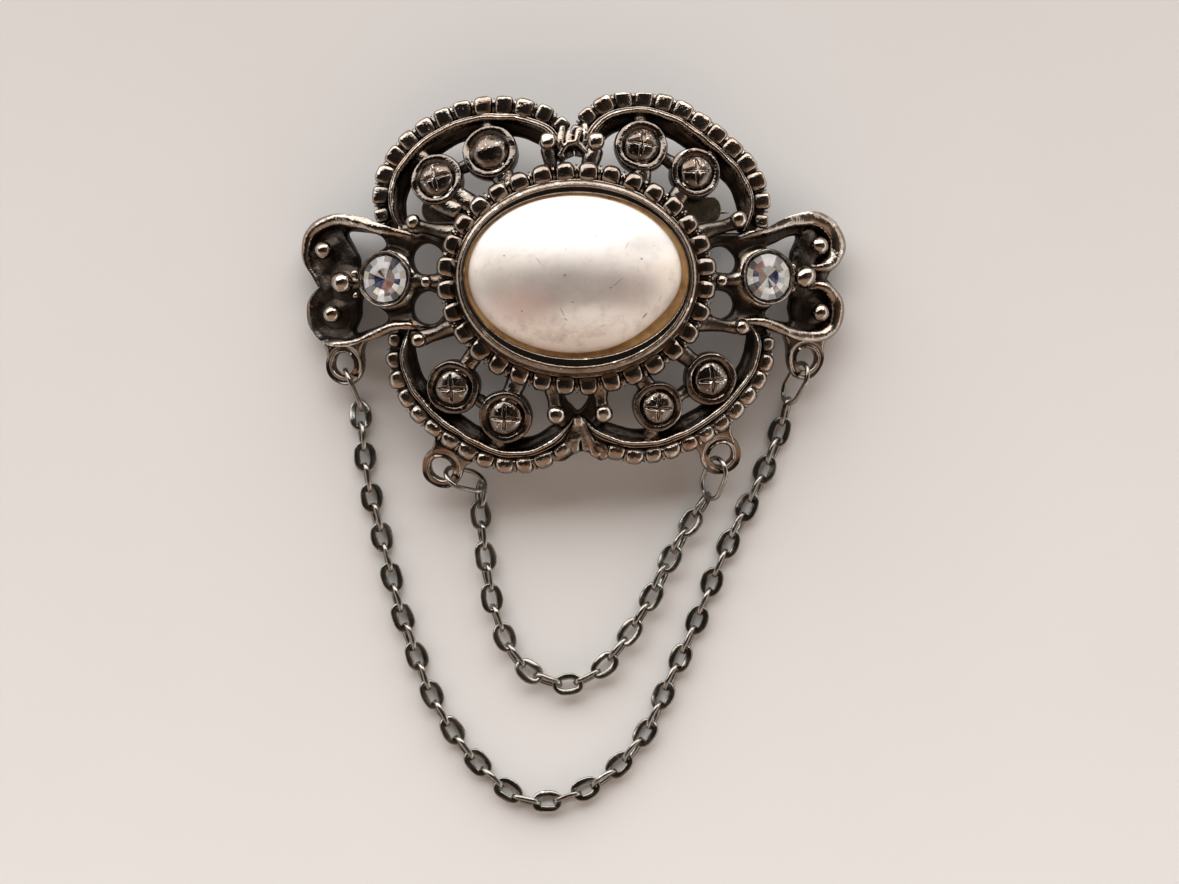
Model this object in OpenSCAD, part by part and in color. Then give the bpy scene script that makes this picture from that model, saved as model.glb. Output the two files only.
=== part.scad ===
// Chain brooch: an oval pearl cabochon in a pierced, domed scrollwork casting with two
// clear round stones, and two plain cable chains hung in swags between four cast loops.
// It lies face up: +Z is up off the surface, +Y is toward the top of the brooch.
// Each scroll table is measured from the middle of the pearl, seen from above.

/* [Placing] */
// middle of the pearl, to the right of the middle of the whole piece
pearl_x = 0.3; // [-2:0.05:2]
// middle of the pearl, above the middle of the whole piece
pearl_y = 16.75; // [10:0.1:25]

/* [Domed casting] */
// radius that the front of the casting is domed to
dome_r = 55; // [40:1:90]
// height of the domed front at the pearl
dome_top = 8.5; // [7:0.1:11]
// depth of the rails and cups below the domed front
metal_t = 1.6; // [1:0.1:2.5]
// depth of the dished floor in the wings below the domed front
floor_depth = 0.75; // [0.4:0.05:1.2]

/* [Pearl setting] */
// half the outer width of the bezel
bezel_a = 10.95; // [9:0.05:13]
// half the outer height of the bezel
bezel_b = 8.8; // [7:0.05:11]
// bezel middle, below the pearl middle
bezel_drop = 0.35; // [0:0.05:1]
// height of the bezel rim over the surface
bezel_top = 9.5; // [9:0.1:11]
// height of the cup floor that the pearl is bedded on
cup_floor = 7.3; // [6.5:0.1:8]
// number of barrel beads round the bezel
ring_beads = 32; // [24:1:40]
// width of the bead ring
ring_w = 1.95; // [1.2:0.05:2.5]

/* [Pearl] */
// half the width of the pearl cabochon
pearl_a = 9.8; // [8:0.05:11]
// half the height of the pearl cabochon
pearl_b = 7.2; // [6:0.05:9]
// thickness of the pearl cabochon
pearl_t = 5.2; // [3:0.1:7]
// height of the straight girdle of the pearl
pearl_girdle = 0.9; // [0.3:0.1:2]

/* [Scroll lobes] */
// barrel beads along the border of each lobe
lobe_beads = 13; // [9:1:16]
// width of the bead border
border_w = 1.7; // [1:0.05:2.2]
// width of the sloping rail inside the border
rail_w = 2.1; // [1.4:0.05:2.8]
// height of the rail crest over the domed front
rail_rise = 0.35; // [0:0.05:0.8]
// rail and border meet here: x, y of the upper left lobe, clockwise
upper_left = [[-17.2, 5.2], [-17.5, 7.6], [-16.5, 10.7], [-14.6, 12.8], [-11.6, 14.5], [-8.6, 15.1], [-5.8, 15.0],
    [-3.4, 14.2], [-1.7, 13.0]];
// the same of the upper right lobe, clockwise
upper_right = [[1.1, 13.1], [2.9, 15.0], [5.5, 15.5], [8.2, 15.0], [10.9, 13.7], [13.6, 11.8], [15.4, 9.7],
    [16.4, 7.5], [16.6, 5.3]];
// the same of the lower right lobe, clockwise
lower_right = [[16.9, -5.2], [16.9, -7.2], [16.1, -9.7], [14.4, -11.9], [11.9, -13.8], [9.1, -14.9], [6.4, -15.5],
    [3.7, -15.1], [1.5, -13.7]];
// the same of the lower left lobe, clockwise
lower_left = [[-0.9, -14.2], [-2.3, -15.6], [-4.3, -16.4], [-6.8, -16.7], [-9.4, -16.0], [-12.1, -14.6],
    [-14.6, -12.4], [-16.0, -9.9], [-16.3, -6.2]];

/* [Wings] */
// width of the rolled rail round each wing
wing_rail_w = 1.2; // [0.8:0.05:1.8]
// outer edge of the left wing, lower scroll: x, y clockwise from its leaf point
wing_left_low = [[-14.8, -5.0], [-17.2, -5.2], [-19.6, -6.0], [-21.9, -6.5], [-24.0, -6.1], [-25.5, -4.6],
    [-25.8, -2.9], [-25.3, -1.6], [-24.4, -0.8]];
// outer edge of the left wing, upper scroll, on to its leaf point
wing_left_up = [[-24.5, -0.9], [-25.6, 1.2], [-26.1, 3.0], [-25.6, 4.7], [-24.2, 5.7], [-22.2, 6.0], [-19.9, 5.6],
    [-17.5, 4.6], [-15.3, 4.1]];
// outer edge of the right wing, upper scroll, from its leaf point
wing_right_up = [[15.6, 4.1], [17.6, 4.5], [19.8, 5.7], [22.0, 6.2], [23.8, 6.0], [25.1, 4.7], [25.5, 3.1],
    [24.9, 1.8], [23.9, -0.1]];
// outer edge of the right wing, lower scroll, on to its leaf point
wing_right_low = [[23.9, 0.0], [24.8, -1.1], [25.4, -2.7], [25.1, -4.3], [23.7, -5.8], [21.7, -6.1], [19.6, -5.5],
    [17.4, -4.8], [15.2, -4.7]];

/* [Wing openings] */
// x, y round the upper opening of the left wing
hole_left_up = [[-22.0, 4.4], [-20.0, 4.3], [-18.6, 3.9], [-18.1, 2.9], [-19.6, 2.0], [-20.7, 0.9], [-20.9, 2.1]];
// x, y round the lower opening of the left wing
hole_left_low = [[-20.5, -1.9], [-19.7, -2.1], [-18.6, -2.8], [-17.9, -3.9], [-18.8, -4.6], [-21.2, -5.2], [-20.7, -3.5]];
// x, y round the upper opening of the right wing
hole_right_up = [[17.9, 2.7], [18.8, 3.2], [21.1, 4.1], [20.5, 2.4], [20.3, 1.0], [19.7, 1.0], [19.2, 2.0]];
// x, y round the lower opening of the right wing
hole_right_low = [[19.5, -1.8], [20.4, -1.8], [20.3, -3.0], [20.4, -4.2], [19.1, -4.1], [17.9, -3.7], [18.4, -2.6]];
// round openings beside the bezel: x, y, radius
side_holes = [[-14.1, 1.6, 1.5], [-14.0, -3.0, 1.55], [13.7, 1.4, 1.4], [13.6, -2.7, 1.3]];

/* [Rosettes and balls] */
// rosettes: x, y, outer radius
rosettes = [[-12.9, 8.7, 2.6], [-8.0, 11.2, 2.65], [6.1, 11.7, 2.6], [11.1, 9.5, 2.6], [12.3, -9.4, 2.6],
    [7.5, -11.9, 2.45], [-6.6, -13.1, 2.5], [-11.5, -10.4, 2.6]];
// radius of the domed knob in each rosette
knob_r = 1.45; // [1:0.05:1.8]
// width of the cross slot in each knob
slot_w = 0.32; // [0.2:0.02:0.5]
// small balls at the scroll ends and in the wings: x, y, radius
balls = [[-2.6, 12.2, 0.8], [1.9, 12.2, 0.8], [2.5, -12.8, 0.8], [-1.9, -12.9, 0.8], [-15.2, 5.0, 0.75],
    [15.1, 5.2, 0.85], [15.4, -4.8, 0.8], [-14.7, -6.0, 0.75], [-23.8, 2.6, 0.85], [-21.9, -0.5, 1.05],
    [-22.9, -3.4, 0.85], [22.8, 3.0, 0.85], [21.3, 0.0, 1.05], [22.9, -3.2, 0.85]];
// arms inside the scrollwork: x and y of both ends, radius
arms = [[-15.2, 4.9, -11.3, 3.9, 0.62], [15.1, 5.1, 11.3, 3.9, 0.62], [15.3, -4.9, 11.2, -4.4, 0.62],
    [-14.7, -5.9, -11.3, -4.7, 0.62], [-15.35, -0.5, -12.2, -0.5, 0.75], [15.35, -0.3, 12.2, -0.4, 0.75],
    [-11.9, 8.0, -9.2, 6.2, 0.6], [10.2, 8.5, 8.8, 6.3, 0.6], [11.4, -8.5, 9.2, -6.7, 0.6],
    [-10.9, -9.4, -9.2, -6.9, 0.6], [-7.4, 10.0, -6.3, 8.2, 0.6], [6.1, 10.5, 6.0, 8.4, 0.6],
    [7.1, -10.9, 5.6, -9.0, 0.6], [-6.4, -12.0, -5.6, -9.2, 0.6], [-2.6, 12.2, -3.0, 9.2, 0.62],
    [1.9, 12.2, 2.4, 9.2, 0.62], [2.5, -12.8, 2.6, -9.8, 0.62], [-1.9, -12.9, -2.2, -9.8, 0.62]];

/* [Stones] */
// round stones: x, y
stones = [[-17.75, -0.3], [17.75, -0.1]];
// girdle radius of a stone
stone_r = 2.2; // [1.8:0.05:3]
// wall of the stone cups
cup_wall = 0.33; // [0.2:0.01:0.6]
// height of the stone cups over the domed front
cup_rise = 0.55; // [0.2:0.05:1]

/* [Loops and jump rings] */
// cast loops for the chains: x, y, radius of the ring's centre line
loops = [[-22.15, -8.2, 1.47], [21.8, -7.7, 1.42], [-12.8, -18.1, 1.47], [13.7, -16.8, 1.45]];
// radius of the metal of a cast loop
loop_wire = 0.52; // [0.3:0.02:0.8]
// wire radius of a jump ring
jump_wire = 0.23; // [0.15:0.01:0.4]
// length of a jump ring outside
jump_len = 4.6; // [3:0.1:6]
// width of a jump ring outside
jump_wid = 3.1; // [2:0.1:4]

/* [Chains] */
// radius of the round tube that a chain of flat links fills
chain_r = 0.9; // [0.5:0.05:1.2]

/* [Pin back] */
// half the length of the bar
bar_half = 14.0; // [10:0.1:16]
// middle of the bar above the pearl middle
bar_y = 6.3; // [3:0.1:8]
// width of the bar
bar_w = 2.4; // [1.5:0.1:4]
// thickness of the bar
bar_t = 0.8; // [0.5:0.1:1.5]
// height of the top of the bar over the surface
bar_top = 4.3; // [3:0.05:5]
// radius of the pin stem
stem_r = 0.4; // [0.3:0.05:0.6]
// height of the pin stem over the surface
stem_z = 1.6; // [1:0.1:2.5]
// how far the rounded hinge and catch are cut flat underneath
foot_cut = 0.2; // [0:0.05:0.5]

/* [Hidden] */
$fn = 48;

gunmetal = [0.16, 0.15, 0.14];
old_brass = [0.45, 0.3, 0.15];
pearl_white = [0.93, 0.9, 0.87];
clear_glass = [0.85, 0.88, 0.92];

// outer chain, on the surface: x, y, z of its middle line
outer_route = [[-20.6, -12.9, 1.1], [-20.3, -15.6, 0.9], [-19.9, -18.8, 0.9], [-19.1, -22.3, 0.9],
    [-18.0, -26.4, 0.9], [-17.0, -30.6, 0.9], [-15.8, -34.2, 0.9], [-14.4, -38.0, 0.9], [-12.9, -41.1, 0.9],
    [-10.9, -44.2, 0.9], [-8.5, -46.8, 0.9], [-5.8, -49.0, 0.9], [-3.2, -49.6, 0.9], [-0.4, -48.9, 0.9],
    [2.2, -47.6, 0.9], [4.6, -45.5, 0.9], [6.8, -42.5, 0.9], [8.4, -39.0, 0.9], [10.2, -35.1, 0.9],
    [11.8, -31.4, 0.9], [13.3, -27.6, 0.9], [14.9, -24.1, 0.9], [16.6, -20.8, 0.9], [18.2, -17.3, 0.9],
    [19.3, -14.4, 0.9], [19.8, -12.5, 1.1]];
// inner chain, on the surface: x, y, z of its middle line
inner_route = [[-9.1, -20.35, 1.1], [-9.1, -22.9, 0.9], [-8.7, -26.2, 0.9], [-8.1, -30.2, 0.9], [-7.0, -33.6, 0.9],
    [-5.2, -36.6, 0.9], [-2.6, -38.1, 0.9], [-0.2, -38.3, 0.9], [2.4, -36.8, 0.9], [4.6, -34.1, 0.9],
    [6.8, -30.6, 0.9], [8.8, -26.6, 0.9], [10.7, -23.2, 0.9], [11.9, -21.4, 1.1]];

// point at height h over the domed front, by its place seen from above
function on_front(x, y, h) =
    let (up = sqrt(dome_r * dome_r - x * x - y * y))
    [0, 0, dome_top - dome_r] + [x, y, up] * (dome_r + h) / dome_r;

// smooth curve through the rows of a table
function curve_point(a, b, c, d, t) =
    0.5 * (2 * b + (c - a) * t + (2 * a - 5 * b + 4 * c - d) * t * t + (3 * b - a - 3 * c + d) * t * t * t);
function curve(rows, steps = 6) =
    let (last = len(rows) - 1)
    [for (i = [0 : last - 1], k = [0 : steps - 1])
        curve_point(rows[max(i - 1, 0)], rows[i], rows[i + 1], rows[min(i + 2, last)], k / steps),
     rows[last]];

// length along a curve up to each of its points
function run(pts) =
    [for (i = 0, s = 0; i < len(pts); s = s + (i + 1 < len(pts) ? norm(pts[i + 1] - pts[i]) : 0), i = i + 1) s];
function at_share(pts, lengths, share) =
    let (s = share * lengths[len(pts) - 1])
    [lookup(s, [for (i = [0 : len(pts) - 1]) [lengths[i], pts[i].x]]),
     lookup(s, [for (i = [0 : len(pts) - 1]) [lengths[i], pts[i].y]])];
function spread(pts, shares) =
    let (lengths = run(pts))
    [for (share = shares) at_share(pts, lengths, share)];

// side direction of an open curve, to the left of its run
function side_of(pts, i) =
    let (t = pts[min(i + 1, len(pts) - 1)] - pts[max(i - 1, 0)])
    [-t.y, t.x] / norm(t);

// shares of a border with a narrow groove at both ends of each bead, and its swell there
function bead_shares(n) = [for (i = [0 : n - 1], u = [0.0, 0.24, 0.76]) (i + u) / n, 1];
function bead_swell(n) = [for (i = [0 : n - 1], b = [0, 1, 1]) b, 0];

// triangles that skin rows of points, each row a ring round the metal
function skin_faces(rows, m, closed) =
    [for (i = [0 : rows - (closed ? 1 : 2)], j = [0 : m - 1], half = [0, 1])
        let (a = i * m + j, b = i * m + (j + 1) % m, c = ((i + 1) % rows) * m + j, d = ((i + 1) % rows) * m + (j + 1) % m)
        half == 0 ? [a, c, b] : [b, c, d]];
function end_faces(rows, m, corners) =
    let (base = (rows - 1) * m)
    concat(corners, [for (c = corners) [base + c[2], base + c[1], base + c[0]]]);
// end triangles of a section that bulges all round
function bulging(m) = [for (j = [1 : m - 2]) [0, j, j + 1]];

// scroll of metal on the domed front; section rows are side, height, added side, added height on a bead
module scroll(pts, swell, section, corners) {
    m = len(section);
    points = [for (i = [0 : len(pts) - 1], row = section)
        let (n = side_of(pts, i), s = row[0] + row[2] * swell[i], p = pts[i] + n * s)
        on_front(p.x, p.y, row[1] + row[3] * swell[i])];
    polyhedron(points, concat(skin_faces(len(pts), m, false), end_faces(len(pts), m, corners)));
}

// lobe: outer border of barrel beads, then a rail that slopes in to the openings
lobe_section = [[border_w - 0.35, -metal_t + 0.1, 0.35, 0], [border_w - 0.35, -0.75, 0.35, 0.15],
    [border_w - 0.75, -0.5, 0.1, 0.35], [0.15, -0.5, 0, 0.1], [-0.05, rail_rise - 0.1, 0, 0],
    [-0.45, rail_rise, 0, 0], [-0.8, rail_rise - 0.3, 0, 0], [-rail_w, -metal_t + 0.15, 0, 0],
    [-rail_w + 0.3, -metal_t, 0, 0]];
// end triangles of the lobe's section, whose outline dips between border and rail
lobe_corners = [[0, 1, 2], [0, 2, 3], [0, 3, 8], [3, 4, 5], [3, 5, 6], [3, 6, 8], [6, 7, 8]];
module lobe(table) {
    scroll(spread(curve(table), bead_shares(lobe_beads)), bead_swell(lobe_beads), lobe_section, lobe_corners);
}

// rolled rail round a wing, thinning at the leaf point
rail_section = [[-0.25, -metal_t, 0, 0], [0, -metal_t + 0.45, 0, 0], [0, -0.1, 0, 0], [-0.3, 0.25, 0, 0],
    [-0.65, 0.2, 0, 0], [-wing_rail_w, -floor_depth - 0.1, 0, 0], [-wing_rail_w, -metal_t, 0, 0]];
module wing_rail(table) {
    pts = spread(curve(table), [for (i = [0 : 22]) i / 22]);
    scroll(pts, [for (p = pts) 0], rail_section, bulging(len(rail_section)));
}

// metal between two depths under the domed front
module under_front(top, bottom) {
    intersection() {
        linear_extrude(14) children();
        difference() {
            translate([0, 0, dome_top - dome_r]) sphere(r = dome_r + top, $fn = 96);
            translate([0, 0, dome_top - dome_r]) sphere(r = dome_r + bottom, $fn = 96);
        }
    }
}

// stands what it holds on the domed front, square to it
module standing(x, y) {
    tilt = asin(sqrt(x * x + y * y) / dome_r);
    turn = atan2(y, x);
    translate(on_front(x, y, 0)) rotate([0, tilt, turn]) rotate([0, 0, -turn]) children();
}

// pierced floor of a wing with its stone's surround
module wing_floor(outline, holes, rounds) {
    under_front(-floor_depth, -metal_t + 0.05) difference() {
        polygon(outline);
        for (h = holes) polygon(curve(concat(h, [h[0]]), 3));
        for (r = rounds) translate([r[0], r[1]]) circle(r = r[2]);
        for (s = stones) translate([s[0], s[1]]) circle(r = stone_r + 0.1);
    }
}
function inset(table, d) =
    let (pts = curve(table, 3))
    [for (i = [0 : len(pts) - 1]) pts[i] - side_of(pts, i) * d];
left_floor = concat([[-11.2, -5.0]], inset(wing_left_low, 0.5), inset(wing_left_up, 0.5), [[-11.2, 4.3]]);
right_floor = concat([[11.2, 4.3]], inset(wing_right_up, 0.5), inset(wing_right_low, 0.5), [[11.2, -4.8]]);

// bezel and its ring of barrel beads, as one turned section
ring_steps = ring_beads * 3;
function oval(a, b, n) = [for (i = [0 : n]) [a * cos(360 * i / n), b * sin(360 * i / n)]];
bezel_path = spread(oval(bezel_a, bezel_b, 180), bead_shares(ring_beads));
bezel_section = [[-2.2, 5.9, 0, 0], [ring_w - 0.45, 6.1, 0.3, 0], [ring_w - 0.3, 6.8, 0.3, 0.2],
    [ring_w - 0.95, 7.35, 0.1, 0.35], [0.1, 7.35, 0, 0.1], [0, bezel_top - 0.15, 0, 0],
    [-0.3, bezel_top, 0, 0], [-0.85, bezel_top - 0.7, 0, 0], [-0.87, cup_floor, 0, 0], [-2.2, cup_floor, 0, 0]];
module bezel() {
    swell = bead_swell(ring_beads);
    m = len(bezel_section);
    points = [for (i = [0 : ring_steps - 1], row = bezel_section)
        let (p = bezel_path[i], n = [p.x / (bezel_a * bezel_a), p.y / (bezel_b * bezel_b)],
             q = p + n / norm(n) * (row[0] + row[2] * swell[i]))
        [q.x, q.y - bezel_drop, row[1] + row[3] * swell[i]]];
    polyhedron(points, [for (f = skin_faces(ring_steps, m, true)) [f[0], f[2], f[1]]]);
    translate([0, -bezel_drop, 5.9]) linear_extrude(cup_floor - 5.9)
        polygon(oval(bezel_a - 2, bezel_b - 2, 60));
}

module rosette(r) {
    difference() {
        rotate_extrude() polygon([[0, -metal_t], [r - 0.35, -metal_t], [r, -0.9], [r - 0.15, 0.2], [r - 0.45, 0.45],
            [r - 0.75, 0.2], [knob_r + 0.15, -0.75], [0, -0.75]]);
    }
    difference() {
        translate([0, 0, -0.35]) sphere(r = knob_r);
        translate([0, 0, -2.9]) cube([4, 4, 3], center = true);
        translate([0, 0, 1.1]) cube([4, slot_w, 0.9], center = true);
        translate([0, 0, 1.1]) cube([slot_w, 4, 0.9], center = true);
    }
}

module stone_cup() {
    difference() {
        translate([0, 0, -metal_t]) cylinder(h = metal_t + cup_rise, r = stone_r + cup_wall);
        translate([0, 0, -0.95]) cylinder(h = 3, r = stone_r + 0.06);
        translate([0, 0, -2.5]) cylinder(h = 2, r = 1.1);
    }
}

module arm(a) {
    p = on_front(a[0], a[1], -0.75);
    q = on_front(a[2], a[3], -0.8);
    d = q - p;
    translate(p) rotate([0, acos(d.z / norm(d)), atan2(d.y, d.x)]) cylinder(h = norm(d), r = a[4], $fn = 20);
}

// ridged leaf between two lobes: x, y of its root, half width, length and direction in y
module fan(x, y, half, reach, way) {
    root = 0.3 + 0.2 * half;
    under_front(-0.05, -metal_t + 0.3)
        polygon([[x - root, y], [x - half, y + way * reach * 0.75], [x - half * 0.4, y + way * reach],
            [x, y + way * reach * 0.92], [x + half * 0.4, y + way * reach], [x + half, y + way * reach * 0.75],
            [x + root, y]]);
}

module casting() color(gunmetal) translate([pearl_x, pearl_y, 0]) {
    union() {
        bezel();
        wing_floor(left_floor, [hole_left_up, hole_left_low], [side_holes[0], side_holes[1]]);
        wing_floor(right_floor, [hole_right_up, hole_right_low], [side_holes[2], side_holes[3]]);
    }
    union() {
        for (table = [upper_left, upper_right, lower_right, lower_left]) lobe(table);
    }
    union() {
        for (table = [wing_left_low, wing_left_up, wing_right_up, wing_right_low]) wing_rail(table);
    }
    union() {
        for (r = rosettes) standing(r[0], r[1]) rosette(r[2]);
    }
    union() {
        for (s = stones) standing(s[0], s[1]) stone_cup();
    }
    union() {
        for (a = arms) arm(a);
    }
    for (b = balls) translate(on_front(b[0], b[1], -0.25)) sphere(r = b[2]);
    for (l = loops) standing(l[0], l[1]) translate([0, 0, -0.85])
        rotate_extrude() translate([l[2], 0]) circle(r = loop_wire);
    fan(-0.3, 10.9, 1.1, 3.6, 1);
    fan(0.3, -12.6, 1.2, 4.4, -1);
}

// dark gilt bed that shows as a ring between the pearl and its bezel
module pearl_bed() color(old_brass) translate([pearl_x, pearl_y, 0]) {
    difference() {
        translate([0, -bezel_drop, cup_floor + 0.03])
            linear_extrude(1.35) polygon(oval(bezel_a - 0.92, bezel_b - 0.92, 72));
        translate([0, 0, cup_floor - 1]) linear_extrude(4) polygon(oval(pearl_a + 0.05, pearl_b + 0.05, 72));
    }
}

// low smooth cabochon with a straight girdle and a domed top
module pearl() color(pearl_white) translate([pearl_x, pearl_y, 0]) {
    around = 48;
    levels = [0, 12, 26, 40, 54, 68, 80];
    base = cup_floor + 0.05;
    rows = concat([[1, 0]], [for (a = levels) [cos(a), pearl_girdle + (pearl_t - pearl_girdle) * sin(a)]]);
    points = concat([for (row = rows, i = [0 : around - 1])
        [pearl_a * row[0] * cos(360 * i / around), pearl_b * row[0] * sin(360 * i / around),
         base + row[1]]], [[0, 0, base + pearl_t]]);
    top = len(rows) * around;
    sides = [for (k = [0 : len(rows) - 2], i = [0 : around - 1], half = [0, 1])
        let (a = k * around + i, b = k * around + (i + 1) % around)
        half == 0 ? [a, a + around, b] : [b, a + around, b + around]];
    cap = [for (i = [0 : around - 1]) [top - around + i, top, top - around + (i + 1) % around]];
    polyhedron(points, concat(sides, cap, [[for (i = [0 : around - 1]) i]]));
}

// round brilliant: eight-sided table, crown, girdle and pointed back
module stone(s) color(clear_glass) translate([pearl_x, pearl_y, 0]) standing(s[0], s[1]) {
    translate([0, 0, 0.35]) cylinder(h = 0.6, r1 = stone_r * 0.98, r2 = stone_r * 0.55, $fn = 8);
    translate([0, 0, 0.1]) cylinder(h = 0.26, r = stone_r);
    translate([0, 0, -0.88]) cylinder(h = 1.0, r1 = stone_r * 0.45, r2 = stone_r * 0.97);
}
module stone_left() stone(stones[0]);
module stone_right() stone(stones[1]);

// oval jump ring in its own plane: long side along x, opening along z
module jump_ring() {
    bend = jump_wid / 2 - jump_wire;
    straight = jump_len - jump_wid;
    for (side = [-1, 1]) translate([side * straight / 2, 0, 0]) rotate([0, 0, side * 90 + 180])
        rotate_extrude(angle = 180) translate([bend, 0]) circle(r = jump_wire);
    for (side = [-1, 1]) translate([-straight / 2, side * bend, 0]) rotate([0, 90, 0])
        cylinder(h = straight, r = jump_wire);
}
// jump ring round the metal of a cast loop: direction of the linked spot from the loop's middle,
// heading and downward slope of the ring's long side, and its turn about that
module hung_ring(l, spot, heading, slope, turn) color(gunmetal) translate([pearl_x, pearl_y, 0]) {
    reach = jump_len / 2 - jump_wire - 0.95;
    up = on_front(l[0], l[1], 1) - on_front(l[0], l[1], 0);
    out = [cos(spot), sin(spot), -(up.x * cos(spot) + up.y * sin(spot)) / up.z];
    seat = on_front(l[0], l[1], -0.85) + out / norm(out) * l[2];
    translate(seat) rotate([0, slope, heading]) translate([reach, 0, 0]) rotate([turn, 0, 0]) jump_ring();
}
module jump_ring_upper_left() hung_ring(loops[0], -76, -69, 20, 84);
module jump_ring_upper_right() hung_ring(loops[1], -105, -118, 24, 56);
module jump_ring_lower_left() hung_ring(loops[2], -37, -12, 30, -50);
module jump_ring_lower_right() hung_ring(loops[3], -100, -110, 30, 45);

// tube along a route on the surface
module chain_tube(route) color(gunmetal) translate([pearl_x, pearl_y, 0]) {
    sides = 8;
    points = [for (i = [0 : len(route) - 1], j = [0 : sides - 1])
        let (t = route[min(i + 1, len(route) - 1)] - route[max(i - 1, 0)],
             w = [-t.y, t.x, 0] / norm([t.x, t.y]), u = cross(t, w) / norm(cross(t, w)),
             a = 360 * (j + 0.5) / sides)
        route[i] + (w * cos(a) + u * sin(a)) * chain_r / cos(180 / sides)];
    polyhedron(points, concat(skin_faces(len(route), sides, false), end_faces(len(route), sides, bulging(sides))));
}
module outer_chain() chain_tube(outer_route);
module inner_chain() chain_tube(inner_route);

// bar, hinge block, pin stem and catch, as one plain piece that stands on two small flat feet
module pin_back() color(gunmetal) translate([pearl_x - 0.5, pearl_y + bar_y, 0]) {
    hinge_x = -bar_half + 1.8;
    catch_x = bar_half - 1.9;
    block_r = stem_z + foot_cut;
    translate([-bar_half, -bar_w / 2, bar_top - bar_t]) cube([2 * bar_half, bar_w, bar_t]);
    difference() {
        union() {
            translate([hinge_x, 0, stem_z]) rotate([90, 0, 0]) cylinder(h = 2, r = block_r, center = true);
            translate([hinge_x - 1.1, -1, stem_z]) cube([2.2, 2, bar_top - bar_t - stem_z + 0.2]);
        }
        translate([hinge_x - 3, -3, -2]) cube([6, 6, 2]);
    }
    translate([hinge_x, 0, stem_z]) rotate([0, 90, 0]) cylinder(h = catch_x - hinge_x + 1.2, r = stem_r);
    translate([catch_x + 1.2, 0, stem_z]) rotate([0, 90, 0]) cylinder(h = 1.6, r1 = stem_r, r2 = 0.08);
    difference() {
        union() {
            translate([catch_x, 0, stem_z]) rotate([0, 90, 0]) cylinder(h = 1.6, r = block_r, center = true);
            translate([catch_x - 0.8, -0.8, stem_z + 0.8]) cube([1.6, 1.6, bar_top - bar_t - stem_z - 0.6]);
        }
        translate([catch_x, 0, stem_z]) rotate([0, 90, 0]) cylinder(h = 3, r = stem_r + 0.35, center = true);
        translate([catch_x - 2, -2.4, stem_z - 0.45]) cube([4, 2.4, 0.9]);
        translate([catch_x - 3, -3, -2]) cube([6, 6, 2]);
    }
}

casting();
pearl_bed();
pearl();
stone_left();
stone_right();
jump_ring_upper_left();
jump_ring_upper_right();
jump_ring_lower_left();
jump_ring_lower_right();
outer_chain();
inner_chain();
pin_back();
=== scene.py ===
# Chain brooch: an oval pearl in a pierced scrollwork casting, two clear side stones and two chain swags.
# Lengths in the tables are millimetres seen from above, from the pearl's middle, x to the right and y up.
import itertools
import math

import bmesh
import bpy
import numpy as np
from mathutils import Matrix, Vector
from mathutils.geometry import delaunay_2d_cdt


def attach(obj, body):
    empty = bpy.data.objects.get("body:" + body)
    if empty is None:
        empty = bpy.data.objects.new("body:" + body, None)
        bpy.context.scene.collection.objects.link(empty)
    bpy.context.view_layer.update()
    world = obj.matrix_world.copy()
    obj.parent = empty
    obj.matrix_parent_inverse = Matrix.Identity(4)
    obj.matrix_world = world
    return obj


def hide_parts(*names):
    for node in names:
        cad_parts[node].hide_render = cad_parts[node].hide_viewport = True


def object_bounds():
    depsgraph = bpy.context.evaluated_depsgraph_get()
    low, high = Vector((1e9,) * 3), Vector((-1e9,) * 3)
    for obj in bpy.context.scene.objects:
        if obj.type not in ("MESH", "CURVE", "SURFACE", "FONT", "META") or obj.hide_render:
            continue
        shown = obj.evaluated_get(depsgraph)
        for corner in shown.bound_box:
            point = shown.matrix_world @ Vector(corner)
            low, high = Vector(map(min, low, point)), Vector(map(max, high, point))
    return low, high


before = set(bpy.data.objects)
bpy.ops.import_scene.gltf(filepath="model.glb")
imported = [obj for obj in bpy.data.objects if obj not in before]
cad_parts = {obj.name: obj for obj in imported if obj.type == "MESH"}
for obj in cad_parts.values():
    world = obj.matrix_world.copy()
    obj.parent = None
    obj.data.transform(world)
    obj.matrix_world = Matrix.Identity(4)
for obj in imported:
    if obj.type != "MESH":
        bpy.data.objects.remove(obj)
cad_low, cad_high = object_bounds()

MM = 0.001
# Every piece stays this far inside the CAD part's box, in metres
HAIR = 1e-6
LOW_LIMIT, HIGH_LIMIT = np.array(cad_low) + HAIR, np.array(cad_high) - HAIR

# Where the pearl's middle lies in the frame, and the domed front that the casting follows
PEARL_AT = np.array([0.3, 16.75, 0.0])
DOME_R, DOME_TOP, METAL_T = 55.0, 8.5, 1.6
DOME_MIDDLE = tuple((PEARL_AT + [0.0, 0.0, DOME_TOP - DOME_R]) * MM)

# Oval bezel and its bead ring, the bezel's mouth (half length, half height, y of its middle), the height of
# the floor under the pearl, and the pearl
BEZEL_A, BEZEL_B, BEZEL_DROP, RING_BEADS = 10.95, 8.8, 0.35, 32
MOUTH_A, MOUTH_B, MOUTH_Y = 10.22, 7.54, -0.2
CUP_FLOOR = 7.3
PEARL_A, PEARL_B, PEARL_T, PEARL_GIRDLE = 9.8, 7.2, 5.2, 0.9
# Middle of a front so large that it is flat, for beads that stand straight up
FLAT_MIDDLE = tuple((PEARL_AT + [0.0, -BEZEL_DROP, -1e6]) * MM)

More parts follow.
